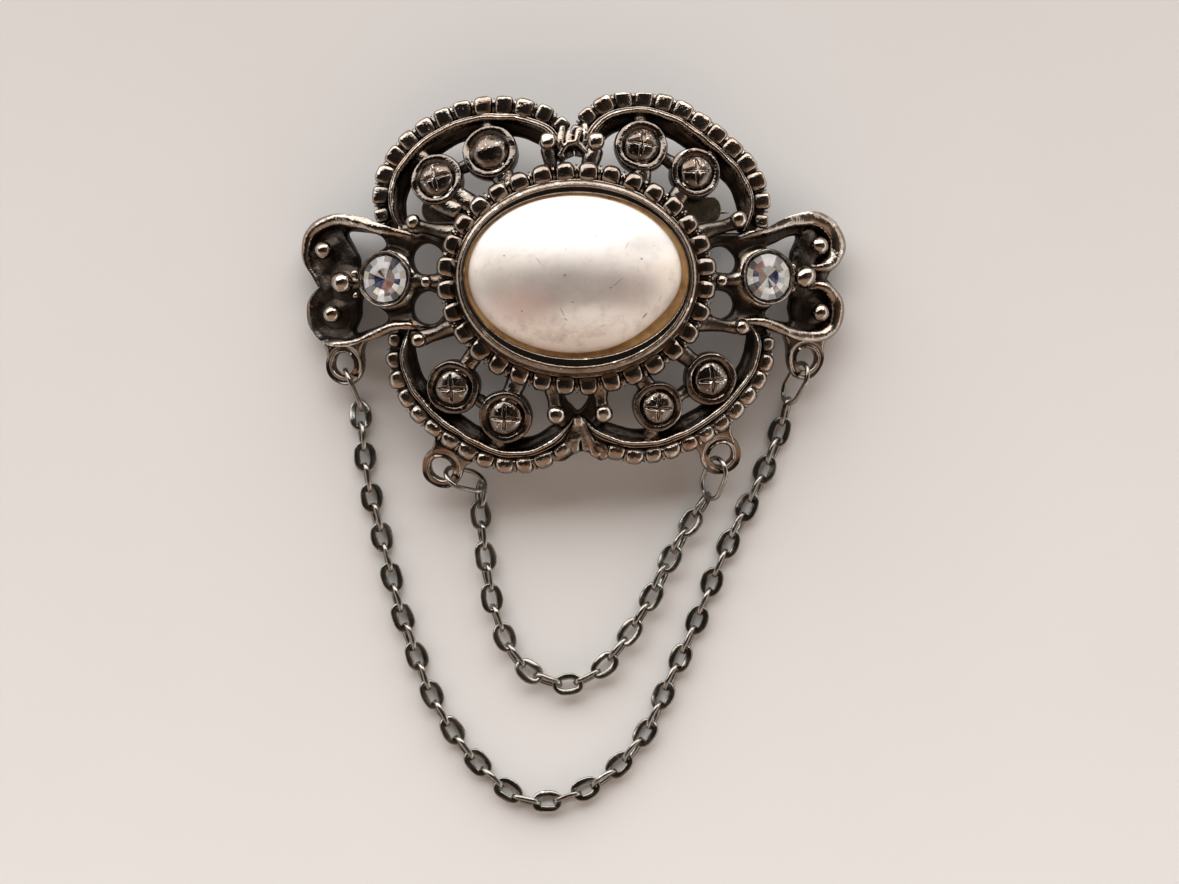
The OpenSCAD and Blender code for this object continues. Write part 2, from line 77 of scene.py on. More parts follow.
# Crest of each lobe's rail, clockwise: x, y
LOBES = {
    "upper_left": [[-16.1, 3.9], [-16.7, 5.0], [-17.15, 6.3], [-17.25, 7.7], [-16.9, 9.1], [-16.3, 10.3],
                   [-15.4, 11.5], [-14.3, 12.5], [-12.9, 13.4], [-11.5, 14.05], [-10.1, 14.5],
                   [-8.5, 14.75], [-6.8, 14.75], [-5.1, 14.5], [-3.4, 13.95], [-2.2, 13.1], [-1.5, 12.1],
                   [-1.1, 11.0]],
    "upper_right": [[0.8, 11.1], [1.0, 12.2], [1.3, 13.1], [1.9, 14.0], [3.0, 14.8], [4.4, 15.3],
                    [5.8, 15.4], [7.5, 15.2], [9.2, 14.55], [10.6, 13.7], [12.0, 12.65], [13.4, 11.5],
                    [14.5, 10.4], [15.5, 9.1], [16.05, 7.7], [16.25, 6.3], [16.05, 5.1], [15.6, 4.1]],
    "lower_right": [[15.9, -4.2], [16.6, -5.0], [16.9, -6.1], [16.85, -7.2], [16.5, -8.3], [15.95, -9.4],
                    [15.1, -10.6], [14.0, -11.8], [12.7, -12.95], [11.3, -13.9], [9.9, -14.65],
                    [8.3, -15.25], [6.7, -15.6], [5.1, -15.6], [3.5, -15.25], [2.2, -14.75], [1.3, -14.15],
                    [0.8, -13.7], [0.5, -13.35]],
    "lower_left": [[-0.15, -13.3], [-0.5, -13.8], [-1.2, -14.6], [-2.0, -15.3], [-3.1, -15.95],
                   [-4.4, -16.4], [-5.8, -16.55], [-7.2, -16.4], [-8.6, -15.9], [-9.9, -15.2],
                   [-11.2, -14.4], [-12.6, -13.4], [-13.9, -12.2], [-15.0, -10.8], [-15.7, -9.5],
                   [-16.05, -8.2], [-16.1, -6.9], [-15.9, -5.6], [-15.5, -4.6]],
}
# Where each lobe's bead border starts and ends beside the crest: x, y, x, y
BEAD_ENDS = {"upper_left": [-16.9, 5.4, -1.8, 12.7], "upper_right": [1.2, 12.8, 16.1, 5.5],
             "lower_right": [16.8, -5.7, 1.9, -14.6], "lower_left": [-0.9, -14.3, -16.0, -6.2]}
# Beads in each lobe's border
LOBE_BEADS = 13
# Outer edge of each half wing, clockwise: x, y
WINGS = {
    "left_low": [[-14.8, -5.0], [-17.2, -5.2], [-19.6, -6.0], [-21.9, -6.5], [-24.0, -6.1], [-25.5, -4.6],
                 [-25.8, -2.9], [-25.3, -1.6], [-24.4, -0.8]],
    "left_up": [[-24.5, -0.9], [-25.6, 1.2], [-26.1, 3.0], [-25.6, 4.7], [-24.2, 5.7], [-22.2, 6.0],
                [-19.9, 5.6], [-17.5, 4.6], [-15.3, 4.1]],
    "right_up": [[15.6, 4.1], [17.6, 4.5], [19.8, 5.7], [22.0, 6.2], [23.8, 6.0], [25.1, 4.7], [25.5, 3.1],
                 [24.9, 1.8], [23.9, -0.1]],
    "right_low": [[23.9, 0.0], [24.8, -1.1], [25.4, -2.7], [25.1, -4.3], [23.7, -5.8], [21.7, -6.1],
                  [19.6, -5.5], [17.4, -4.8], [15.2, -4.7]],
}
# Rounded ridges on the wings: points x, y, half width, then the height of the crest over the front
WING_RIDGES = {
    "left": [([[-24.6, -0.7, 0.3], [-25.5, 1.5, 0.38], [-25.65, 2.9, 0.48], [-25.1, 4.3, 0.58],
               [-23.8, 5.3, 0.66], [-22.1, 5.5, 0.72], [-20.3, 5.2, 0.74], [-18.8, 4.7, 0.7],
               [-17.3, 4.25, 0.62], [-15.6, 3.8, 0.5]], 0.32),
             ([[-24.3, -6.05, 0.3], [-23.2, -6.25, 0.4], [-21.9, -6.25, 0.46], [-20.5, -6.0, 0.48],
               [-19.3, -5.55, 0.5], [-18.1, -5.0, 0.5], [-16.9, -4.65, 0.48], [-15.6, -4.65, 0.45],
               [-14.8, -5.2, 0.4]], 0.22),
             ([[-24.5, -0.9, 0.3], [-25.2, -2.0, 0.4], [-25.4, -3.4, 0.42], [-25.1, -4.8, 0.42],
               [-24.3, -5.8, 0.4]], -0.32)],
    "right": [([[15.4, 3.6, 0.4], [16.8, 4.15, 0.55], [18.1, 4.6, 0.65], [19.5, 5.2, 0.72],
                [20.9, 5.55, 0.78], [22.3, 5.6, 0.8], [23.7, 5.0, 0.82], [24.5, 3.9, 0.82],
                [24.6, 2.7, 0.8], [24.1, 1.6, 0.7], [23.2, 1.1, 0.58], [22.4, 1.0, 0.45]], 0.36),
              ([[15.3, -4.3, 0.4], [17.0, -4.2, 0.48], [18.5, -4.6, 0.55], [19.9, -5.2, 0.6],
                [21.3, -5.5, 0.62], [22.8, -5.45, 0.64], [24.0, -4.8, 0.66], [24.6, -3.6, 0.66],
                [24.6, -2.3, 0.66], [23.9, -1.25, 0.6], [23.0, -0.75, 0.52], [22.1, -0.9, 0.4]], 0.3),
              ([[22.1, 4.0, 0.8], [21.9, 3.0, 1.0], [21.8, 2.0, 1.0], [21.8, 1.2, 0.8]], -0.4)],
}
# Leaf between the upper lobes: outline, then ridges as on the wings
LEAF_OUTLINE = [[-2.1, 12.3], [-1.9, 13.6], [-1.3, 14.1], [-0.85, 13.7], [-0.45, 13.2], [-0.1, 13.4],
                [0.2, 14.0], [0.75, 14.3], [1.25, 13.7], [1.6, 12.6], [1.3, 11.2], [0.7, 11.1],
                [0.1, 11.75], [-0.5, 11.85], [-1.0, 11.3], [-1.4, 10.6], [-1.95, 11.2]]
LEAF_RIDGES = [([[-1.5, 12.1, 0.4], [-1.5, 12.9, 0.44], [-1.3, 13.7, 0.36]], -0.04),
               ([[-0.75, 12.3, 0.34], [-0.75, 12.8, 0.38], [-0.7, 13.3, 0.34]], -0.1),
               ([[0.0, 12.4, 0.34], [0.1, 13.0, 0.42], [0.15, 13.4, 0.4]], 0.02),
               ([[0.85, 12.4, 0.36], [0.85, 13.2, 0.42], [0.75, 13.9, 0.4]], -0.1),
               ([[-1.5, 11.2, 0.3], [-1.0, 12.0, 0.32], [-0.2, 12.3, 0.34], [0.5, 12.0, 0.32],
                 [1.0, 11.4, 0.3]], -0.12)]
# Web above the fan: outline
WEB_OUTLINE = [[-2.4, -12.3], [-2.1, -10.6], [-1.15, -10.7], [-0.98, -11.5], [-0.5, -12.2], [0.12, -12.75],
               [0.75, -12.2], [1.15, -11.5], [1.25, -10.7], [2.2, -10.6], [2.6, -12.3], [2.4, -13.6],
               [0.2, -14.4], [-2.0, -13.8]]
# Fan between the lower lobes: outline, then ridges
FAN_OUTLINE = [[0.15, -13.05], [0.9, -13.7], [2.0, -14.6], [2.9, -15.3], [3.1, -16.7], [2.5, -17.3],
               [1.9, -17.2], [1.3, -16.75], [0.8, -16.55], [0.1, -16.6], [-0.5, -16.9], [-1.1, -17.35],
               [-1.8, -17.4], [-2.3, -16.6], [-1.9, -15.4], [-0.7, -14.1]]
FAN_RIDGES = [([[0.1, -13.2, 0.3], [-0.4, -14.8, 0.4], [-1.0, -16.3, 0.5]], -0.16),
              ([[0.15, -13.2, 0.3], [0.0, -14.9, 0.36], [-0.15, -16.2, 0.45]], -0.12),
              ([[0.25, -13.2, 0.3], [0.6, -14.9, 0.36], [0.85, -16.0, 0.45]], -0.14),
              ([[0.3, -13.3, 0.3], [1.1, -14.9, 0.42], [1.8, -16.4, 0.6]], -0.08),
              ([[-1.9, -16.9, 0.5], [-1.6, -16.6, 0.5]], -0.2),
              ([[2.4, -16.1, 0.5], [2.6, -16.7, 0.5]], -0.15),
              ([[0.15, -13.3, 0.5], [0.15, -13.7, 0.5]], 0.12)]
# Pierced openings of the wings: x, y round each
WING_HOLES = {
    "left": [[[-22.0, 4.4], [-20.0, 4.3], [-18.6, 3.9], [-18.1, 2.9], [-19.6, 2.0], [-20.7, 0.9],
              [-20.9, 2.1]],
             [[-20.5, -1.9], [-19.7, -2.1], [-18.6, -2.8], [-17.9, -3.9], [-18.8, -4.6], [-21.2, -5.2],
              [-20.7, -3.5]]],
    "right": [[[17.9, 2.7], [18.8, 3.2], [21.1, 4.1], [20.5, 2.4], [20.3, 1.0], [19.7, 1.0], [19.2, 2.0]],
              [[19.5, -1.8], [20.4, -1.8], [20.3, -3.0], [20.4, -4.2], [19.1, -4.1], [17.9, -3.7],
               [18.4, -2.6]]],
}
# Round openings between each stone and the bead ring: x, y, radius
SIDE_HOLES = {"left": [[-14.1, 1.6, 1.5], [-14.0, -3.0, 1.55]],
              "right": [[13.7, 1.4, 1.4], [13.6, -2.7, 1.3]]}
# Cup flowers with a four-petalled bud, then the one with a plain ball: x, y, radius, turn in degrees
ROSETTES = [[-13.0, 8.95, 2.5, 12], [6.0, 12.0, 2.5, -8], [11.05, 9.55, 2.4, 3], [12.45, -9.6, 2.5, 6],
            [7.55, -12.2, 2.35, -4], [-6.6, -13.15, 2.5, -3], [-11.5, -10.4, 2.55, 3]]
BALL_ROSETTES = [[-8.05, 11.45, 2.6, 20]]
# Small balls: x, y, radius, height of the middle over the front
BALLS = [[-2.65, 12.3, 0.8, -0.1], [1.8, 12.3, 0.82, -0.1], [2.5, -12.8, 0.88, -0.2],
         [-1.9, -12.9, 0.9, -0.2], [-15.2, 5.0, 0.75, -0.25], [15.1, 5.2, 0.85, -0.25],
         [15.4, -4.8, 0.8, -0.25], [-14.7, -6.0, 0.75, -0.25], [-23.75, 2.6, 0.86, 0.0],
         [-21.9, -0.5, 1.05, 0.05], [-22.9, -3.4, 0.84, 0.0], [22.75, 3.0, 0.88, 0.0],
         [21.3, 0.0, 1.08, 0.05], [22.85, -3.25, 0.88, 0.0], [-20.75, 0.35, 0.34, 0.0],
         [-20.7, -1.7, 0.3, -0.1], [20.1, 0.95, 0.32, 0.0], [20.1, -1.1, 0.32, 0.0],
         [-14.04, -0.6, 0.62, -0.45], [13.5, -0.45, 0.62, -0.45]]
# Struts from balls and flowers to the bead ring, to each other and to the rails: x, y, x, y, radius at the
# start, the waist and the end
ARMS = [[-15.3, 4.7, -11.3, 3.9, 0.8, 0.6, 0.9], [15.1, 5.1, 11.3, 3.9, 0.75, 0.6, 0.9],
        [15.3, -4.8, 11.2, -4.4, 0.75, 0.6, 0.9], [-14.7, -5.9, -11.3, -4.7, 0.8, 0.68, 0.9],
        [-15.5, -0.5, -12.0, -0.5, 0.95, 0.62, 0.8], [15.6, -0.3, 12.0, -0.4, 0.95, 0.62, 0.8],
        [-11.9, 8.0, -9.2, 6.2, 1.0, 0.95, 0.95], [10.2, 8.5, 8.8, 6.3, 1.0, 0.9, 0.95],
        [11.4, -8.5, 9.2, -6.7, 1.0, 0.8, 0.95], [-10.9, -9.4, -9.2, -6.9, 1.0, 0.85, 0.95],
        [-7.4, 10.2, -6.3, 8.2, 1.1, 1.05, 1.0], [6.1, 10.6, 6.0, 8.4, 1.1, 0.95, 0.95],
        [7.1, -11.0, 5.6, -9.0, 1.0, 0.85, 0.95], [-6.4, -12.0, -5.4, -9.2, 1.15, 0.95, 1.0],
        [-2.65, 12.0, -2.3, 9.4, 0.78, 0.72, 0.4], [1.8, 12.0, 0.95, 9.6, 0.85, 0.9, 0.75],
        [2.4, -12.6, 2.15, -9.8, 0.75, 0.64, 1.0], [-1.95, -12.7, -2.35, -9.8, 0.75, 0.64, 1.0],
        [-11.3, 9.9, -9.9, 10.6, 0.7, 0.6, 0.7], [7.9, 11.2, 9.3, 10.4, 0.7, 0.6, 0.7],
        [-9.9, -11.2, -8.4, -12.2, 0.7, 0.6, 0.7], [9.4, -11.4, 10.7, -10.6, 0.7, 0.6, 0.7],
        [-13.8, 10.6, -14.7, 11.5, 0.7, 0.6, 0.8], [-8.3, 13.4, -8.4, 14.3, 0.8, 0.7, 0.8],
        [6.0, 14.0, 5.9, 14.9, 0.8, 0.7, 0.8], [12.3, 11.0, 12.9, 11.7, 0.7, 0.6, 0.8],
        [14.3, -10.8, 14.6, -11.0, 0.7, 0.6, 0.8], [7.2, -14.0, 6.9, -15.2, 0.9, 0.75, 0.8],
        [-7.2, -15.0, -7.4, -16.0, 0.95, 0.8, 0.8], [-13.2, -11.8, -13.7, -12.1, 0.7, 0.6, 0.8],
        [-14.6, -5.8, -15.9, -5.3, 0.7, 0.6, 0.7], [15.4, -4.8, 16.5, -4.6, 0.7, 0.6, 0.7],
        [15.0, 5.1, 16.1, 4.9, 0.7, 0.6, 0.7], [-15.2, 4.6, -16.7, 4.3, 0.75, 0.65, 0.7],
        [-21.7, -0.55, -20.0, -0.45, 0.8, 0.72, 0.8], [21.2, -0.02, 20.0, -0.05, 0.8, 0.72, 0.8],
        [-13.4, 7.2, -10.9, 5.9, 1.0, 1.0, 1.0], [-1.9, -12.9, -1.1, -13.9, 0.7, 0.55, 0.6],
        [2.4, -12.9, 1.6, -13.9, 0.7, 0.55, 0.6], [-2.6, 12.3, -1.7, 12.4, 0.7, 0.6, 0.6],
        [1.9, 12.3, 1.1, 12.3, 0.7, 0.6, 0.6]]
# Side stones: x, y
STONES = {"stone_left": [-17.75, -0.3], "stone_right": [17.75, -0.1]}
STONE_R = 2.2
# Cast loops for the jump rings: x, y, radius of the wire's middle, direction of the neck in degrees
LOOPS = [[-22.15, -8.2, 1.47, 90], [21.8, -7.7, 1.42, 90], [-12.8, -18.1, 1.47, 58],
         [13.7, -16.8, 1.45, 118]]
# Jump rings: number of the loop, then in degrees the direction of the linked spot, the heading and downward
# slope of the long side, and the turn about it
JUMP_RINGS = {"jump_ring_upper_left": [0, -76, -69, 20, 84],
              "jump_ring_upper_right": [1, -105, -118, 24, 56],
              "jump_ring_lower_left": [2, -37, -12, 30, -50],
              "jump_ring_lower_right": [3, -100, -110, 30, 45]}
# Radius of their wire, and their length and width
JUMP_WIRE, JUMP_LEN, JUMP_WID = 0.23, 4.6, 3.1
# Way of each chain over the surface, from ring to ring: x, y
OUTER_ROUTE = [[-20.6, -12.9], [-20.3, -15.6], [-19.9, -18.8], [-19.1, -22.3], [-18.0, -26.4],
               [-17.0, -30.6], [-15.8, -34.2], [-14.4, -38.0], [-12.9, -41.1], [-10.9, -44.2],
               [-8.5, -46.8], [-5.8, -49.0], [-3.2, -49.6], [-0.4, -48.9], [2.2, -47.6], [4.6, -45.5],
               [6.8, -42.5], [8.4, -39.0], [10.2, -35.1], [11.8, -31.4], [13.3, -27.6], [14.9, -24.1],
               [16.6, -20.8], [18.2, -17.3], [19.3, -14.4], [19.8, -12.5]]
INNER_ROUTE = [[-9.1, -20.35], [-9.1, -22.9], [-8.7, -26.2], [-8.1, -30.2], [-7.0, -33.6], [-5.2, -36.6],
               [-2.6, -38.1], [-0.2, -38.3], [2.4, -36.8], [4.6, -34.1], [6.8, -30.6], [8.8, -26.6],
               [10.7, -23.2], [11.9, -21.4]]
# Length and width of a link, and the run of chain that each takes up
LINK_LEN, LINK_WID, LINK_PITCH = 2.92, 2.12, 1.95


# Curves in plan
def smooth_line(rows, steps, closed=False):
    """A smooth curve through the rows of a table, in so many steps from each row to the next."""
    rows = np.array(rows, float)
    count = len(rows)
    t = np.linspace(0, 1, steps, endpoint=False)[:, None]
    out = []
    for i in range(count if closed else count - 1):
        near = [(i + k) % count if closed else min(max(i + k, 0), count - 1) for k in (-1, 0, 1, 2)]
        a, b, c, d = rows[near]
        out.append(0.5 * (2 * b + (c - a) * t + (2 * a - 5 * b + 4 * c - d) * t ** 2
                          + (3 * b - a - 3 * c + d) * t ** 3))
    if not closed:
        out.append(rows[-1:])
    return np.concatenate(out)


def line_length(line):
    return float(np.linalg.norm(np.diff(line, axis=0), axis=1).sum())


def even_line(line, count, closed=False):
    """The same line with so many points spaced evenly."""
    if closed:
        line = np.vstack([line, line[:1]])
    run = np.concatenate([[0], np.cumsum(np.linalg.norm(np.diff(line, axis=0), axis=1))])
    at = np.linspace(0, run[-1], count, endpoint=not closed)
    return np.stack([np.interp(at, run, line[:, k]) for k in range(line.shape[1])], axis=1)


def left_of(line, closed=False):
    """Unit way to the left of a line at each of its points."""
    after, before = np.roll(line, -1, 0), np.roll(line, 1, 0)
    if not closed:
        after[-1], before[0] = line[-1], line[0]
    way = after - before
    way = way / np.linalg.norm(way, axis=1, keepdims=True)
    return np.stack([-way[:, 1], way[:, 0]], axis=1)


def ease(t):
    t = np.clip(t, 0, 1)
    return t * t * (3 - 2 * t)


def round_turn(count):
    """So many angles, evenly round a full turn."""
    return np.linspace(0, 2 * math.pi, count, endpoint=False)


def in_space(x, y, z):
    """Points from separate x, y and z, repeated to one shape where needed."""
    return np.stack(np.broadcast_arrays(x, y, z), axis=-1)


def signed_power(value, power):
    return np.sign(value) * np.abs(value) ** power


# Places on the domed front
def on_front(x, y, h):
    """A spot in plan, raised to a height over the domed front, along the front's normal."""
    x, y, h = (np.asarray(k, float) for k in (x, y, h))
    grown = (DOME_R + h) / DOME_R
    up = np.sqrt(DOME_R ** 2 - x ** 2 - y ** 2)
    return in_space(x * grown, y * grown, DOME_TOP - DOME_R + up * grown)


def standing(x, y):
    """A spot on the front, and the ways along, across and out of the front there."""
    base = on_front(x, y, 0.0)
    normal = on_front(x, y, 1.0) - base
    along = np.array([1.0, 0.0, 0.0]) - normal * normal[0]
    along = along / np.linalg.norm(along)
    return base, along, np.cross(normal, along), normal


def ring_faces(rows, cols, closed_rows=False, closed_cols=True):
    """Four-sided faces between the rows and columns of a grid of points."""
    i = np.arange(rows if closed_rows else rows - 1)
    j = np.arange(cols if closed_cols else cols - 1)
    i, j = np.meshgrid(i, j, indexing="ij")
    after_i, after_j = (i + 1) % rows, (j + 1) % cols
    return np.stack([i * cols + j, i * cols + after_j, after_i * cols + after_j, after_i * cols + j],
                    axis=-1).reshape(-1, 4).tolist()


# Depth of the casting's broad and fine unevenness
BROAD_WEAR, FINE_WEAR = 0.028, 0.004


def as_cast(points):
    """Small dents and swellings of a worn casting, on points in millimetres."""
    x, y, z = points[:, 0], points[:, 1], points[:, 2]
    broad = in_space(np.sin(1.9 * y + 1.1 * z + 0.4) + np.sin(2.7 * x - 1.3 * y),
                     np.sin(2.1 * x + 0.9 * z + 1.7),
                     np.sin(1.7 * x + 2.3 * y) + np.sin(2.9 * y - 1.2 * x + 2.0))
    fine = in_space(np.sin(6.1 * y + 2.0 * x), np.sin(5.7 * x - 2.4 * y), np.sin(6.9 * x + 5.3 * y))
    return points + BROAD_WEAR * broad + FINE_WEAR * fine


def plain_mesh(name, points, faces, crease=40.0, flat=False):
    """Mesh from points in metres: doubles merged, faces outward, sharp only past the crease in degrees."""
    made = bpy.data.meshes.new(name)
    made.from_pydata(points.tolist(), [], faces)
    work = bmesh.new()
    work.from_mesh(made)
    bmesh.ops.remove_doubles(work, verts=work.verts, dist=2e-7)
    bmesh.ops.recalc_face_normals(work, faces=work.faces)
    work.to_mesh(made)
    work.free()
    made.polygons.foreach_set("use_smooth", [not flat] * len(made.polygons))
    if not flat:
        made.set_sharp_from_angle(angle=math.radians(crease))
    made.update()
    return made


def placed(name, data):
    """An object in the scene, at the origin and unscaled."""
    made = bpy.data.objects.new(name, data)
    bpy.context.scene.collection.objects.link(made)
    return made


def show(name, mesh, finish, nodes=()):
    """Puts a finished piece in the scene, and hides the CAD nodes it stands in for."""
    piece = placed(name, mesh)
    mesh.materials.clear()
    mesh.materials.append(finish)
    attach(piece, "root")
    if nodes:
        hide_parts(*nodes)


class Metalwork:
    """Closed shells in millimetres from the pearl's middle, gathered into one piece."""

    def __init__(self):
        self.points, self.faces, self.count = [], [], 0

    def add(self, points, faces):
        points = np.asarray(points, float).reshape(-1, 3)
        self.points.append(points)
        self.faces.extend([[k + self.count for k in face] for face in faces])
        self.count += len(points)

    def grid(self, points, closed_rows=False):
        """Rows of points, each a closed ring; open rows are capped at both ends."""
        rows, cols = points.shape[:2]
        faces = ring_faces(rows, cols, closed_rows)
        if not closed_rows:
            faces += [list(range(cols))[::-1], [(rows - 1) * cols + k for k in range(cols)]]
        self.add(points, faces)

    def mesh(self, name, crease=40.0, flat=False, worn=False):
        points = np.concatenate(self.points)
        points = ((as_cast(points) if worn else points) + PEARL_AT) * MM
        return plain_mesh(name, np.clip(points, LOW_LIMIT, HIGH_LIMIT), self.faces, crease, flat)

    def piece(self, name, finish, slot="gunmetal", nodes=(), **how):
        show(name, self.mesh(name, **how), finish, nodes)


def sweep(work, line, section, closed=False, thin=None, pivot=(0.0, 0.0), place=on_front):
    """A section of side and height, carried along a line in plan; the side grows to the left of its run."""
    side = left_of(line, closed)
    section = np.array(section, float)
    section = np.broadcast_to(section, (len(line),) + section.shape[-2:])
    if thin is not None:
        pivot = np.array(pivot)
        section = pivot + (section - pivot) * np.asarray(thin)[:, None, None]
    x = line[:, :1] + side[:, :1] * section[:, :, 0]
    y = line[:, 1:] + side[:, 1:] * section[:, :, 0]
    work.grid(place(x, y, section[:, :, 1]), closed_rows=closed)


def turned(work, profile, x, y, around):
    """A closed profile of radius and height turned about the front's normal at x, y."""
    base, along, across, normal = standing(x, y)
    a = round_turn(around)[:, None]
    spokes = np.cos(a) * along + np.sin(a) * across
    points = base + spokes[:, None, :] * profile[None, :, :1] + normal * profile[None, :, 1:]
    work.grid(points, closed_rows=True)


# A strut's radius at its very ends, and its thickness, as shares of its width
STRUT_END, STRUT_FLAT = 0.8, 0.8


def strut(work, start, end, radii):
    """A round strut between two points in space, with the radius given along it."""
    start, end = np.array(start), np.array(end)
    way = end - start
    length = np.linalg.norm(way)
    way = way / length
    u = np.cross(way, [0.0, 0.0, 1.0])
    u = u / np.linalg.norm(u)
    v = np.cross(way, u)
    t = np.linspace(0, 1, 14)
    radius = np.interp(t, np.linspace(0, 1, len(radii)), radii)
    radius[[0, -1]] *= STRUT_END
    a = round_turn(20)[:, None]
    rim = np.cos(a) * u + STRUT_FLAT * np.sin(a) * v
    work.grid(start + way * (t * length)[:, None, None] + rim[None] * radius[:, None, None])


# Relief: a pierced plate in plan with a shaped top
# Points whose distances are worked out at a time
BATCH = 1500
# Rings of points beside the plate's edge, as shares of the rounding, and spacing of the rows between them
EDGE_RINGS, ROW_STEP = (0.12, 0.32, 0.6, 1.0), 0.866
# Ridges: points to each step of the table, how far long ones sink at their ends and over how many points,
# depth of their roots under the front, how round they are, and the fillets between them and at their foot
RIDGE_STEPS, RIDGE_SINK, SINK_STEPS, RIDGE_ROOT, RIDGE_ROUND = 40, 0.55, 56.0, 0.75, 0.62
RIDGE_FILLET, FOOT_FILLET = 0.14, 0.1


def inside_of(points, loops):
    """True for points inside the outline and outside its holes."""
    inside = np.zeros(len(points), bool)
    for loop in loops:
        x0, y0 = loop[:, 0], loop[:, 1]
        x1, y1 = np.roll(x0, -1), np.roll(y0, -1)
        px, py = points[:, :1], points[:, 1:]
        cross = (y0 > py) != (y1 > py)
        with np.errstate(divide="ignore", invalid="ignore"):
            at = x0 + (py - y0) * (x1 - x0) / (y1 - y0)
        inside ^= (cross & (px < at)).sum(axis=1) % 2 == 1
    return inside


def distance_to(points, lines, closed=True):
    """Distance from each point to the nearest of some lines, in batches to spare memory."""
    best = np.full(len(points), 1e9)
    for line in lines:
        a = line if closed else line[:-1]
        b = np.roll(line, -1, 0) if closed else line[1:]
        way = b - a
        size = (way ** 2).sum(axis=1) + 1e-12
        for first in range(0, len(points), BATCH):
            p = points[first:first + BATCH]
            t = np.clip(((p[:, None] - a[None]) * way[None]).sum(axis=2) / size, 0, 1)
            gap = np.linalg.norm(p[:, None] - a[None] - way[None] * t[:, :, None], axis=2)
            best[first:first + BATCH] = np.minimum(best[first:first + BATCH], gap.min(axis=1))
    return best


def larger_of(a, b, blend):
    """The larger of two heights, with a small fillet where they meet."""
    share = np.clip(0.5 + 0.5 * (a - b) / blend, 0, 1)
    return b + (a - b) * share + blend * share * (1 - share)


def on_ridges(x, y, ridges, lowest):
    """Height of rounded ridges, each a smooth line of x, y and half width with one crest height."""
    best = np.full(len(x), lowest)
    points = np.stack([x, y], axis=1)
    for table, crest in ridges:
        line = smooth_line(table, RIDGE_STEPS)
        gaps = np.linalg.norm(points[:, None] - line[None, :, :2], axis=2)
        nearest = gaps.argmin(axis=1)
        half = line[nearest, 2]
        share = np.clip(gaps[np.arange(len(x)), nearest] / half, 0, 1)
        from_end = np.minimum(nearest, len(line) - 1 - nearest)
        sunk = RIDGE_SINK * (1 - ease(from_end / SINK_STEPS)) if len(table) > 5 else 0.0
        round_top = crest - sunk - (crest + RIDGE_ROOT) * (1 - np.sqrt(1 - share ** 2)) * RIDGE_ROUND
        best = np.where(share < 1, larger_of(round_top, best, RIDGE_FILLET), best)
    return best


def relief(work, outline, holes, height, under, edge, grain=0.17, ridges=()):
    """Plate with a rounded edge, its top given by a function of x and y, its underside at one height."""
    loops = []
    for loop in [outline] + list(holes):
        loop = np.array(loop, float)
        around = line_length(np.vstack([loop, loop[:1]]))
        loops.append(even_line(loop, max(12, int(around / grain)), closed=True))
    border = np.concatenate(loops)
    edges, first = [], 0
    for loop in loops:
        edges += [(first + k, first + (k + 1) % len(loop)) for k in range(len(loop))]
        first += len(loop)
    inner = []
    for share in EDGE_RINGS:
        for loop in loops:
            side = left_of(loop, True)
            for sign in (-1, 1):
                ring = loop + side * sign * edge * share
                keep = inside_of(ring, loops) & (distance_to(ring, loops) > 0.9 * edge * share)
                inner.append(ring[keep])
    low, high = loops[0].min(axis=0), loops[0].max(axis=0)
    gx, gy = np.meshgrid(np.arange(low[0], high[0], grain), np.arange(low[1], high[1], grain * ROW_STEP))
    gx = gx + (np.arange(gx.shape[0]) % 2)[:, None] * grain * 0.5
    field = np.stack([gx.ravel(), gy.ravel()], axis=1)
    field = field[inside_of(field, loops)]
    field = field[distance_to(field, loops) > edge + grain * 0.6]
    points = np.concatenate([border] + inner + [field])
    flat, _, faces, _, _, _ = delaunay_2d_cdt([Vector(p) for p in points], edges, [], 0, 1e-5)
    flat = np.array([[p.x, p.y] for p in flat])
    faces = np.array([f for f in faces if len(f) == 3])
    faces = faces[inside_of(flat[faces].mean(axis=1), loops)]
    used = np.unique(faces)
    order = np.full(len(flat), -1)
    order[used] = np.arange(len(used))
    flat, faces = flat[used], order[faces]
    depth = np.clip(distance_to(flat, loops) / edge, 0, 1)
    top = height(flat[:, 0], flat[:, 1]) - edge * (1 - np.sqrt(1 - (1 - depth) ** 2))
    if ridges:
        top = larger_of(on_ridges(flat[:, 0], flat[:, 1], ridges, under), top, FOOT_FILLET)
    upper = on_front(flat[:, 0], flat[:, 1], np.maximum(top, under + 0.1))
    lower = on_front(flat[:, 0], flat[:, 1], under)
    count = len(flat)
    seen = {}
    for face in faces.tolist():
        for k in range(3):
            pair = (face[k], face[(k + 1) % 3])
            key = tuple(sorted(pair))
            seen[key] = None if key in seen else pair
    walls = [[a, b, b + count, a + count] for a, b in (pair for pair in seen.values() if pair)]
    work.add(np.concatenate([upper, lower]), faces.tolist() + (faces[:, ::-1] + count).tolist() + walls)


# Nodes, for the finishes and for what repeats
def node_in(tree, kind, inputs=(), **settings):
    """A node with its settings; each input is linked to a socket or set to a plain value."""
    node = tree.nodes.new(kind)
    for name, value in settings.items():
        setattr(node, name, value)
    for key, source in dict(inputs).items():
        socket = node.inputs[key]
        if hasattr(source, "is_output"):
            tree.links.new(source, socket)
        else:
            socket.default_value = source
    return node


def arithmetic(tree, kind, first, second):
    return node_in(tree, "ShaderNodeMath", {0: first, 1: second}, operation=kind).outputs[0]


def plus(tree, first, second):
    return arithmetic(tree, "ADD", first, second)


def minus(tree, first, second):
    return arithmetic(tree, "SUBTRACT", first, second)


def times(tree, first, second):
    return arithmetic(tree, "MULTIPLY", first, second)


def vector_math(tree, kind, first, second=(0.0, 0.0, 0.0)):
    return node_in(tree, "ShaderNodeVectorMath", {0: first, 1: second}, operation=kind)


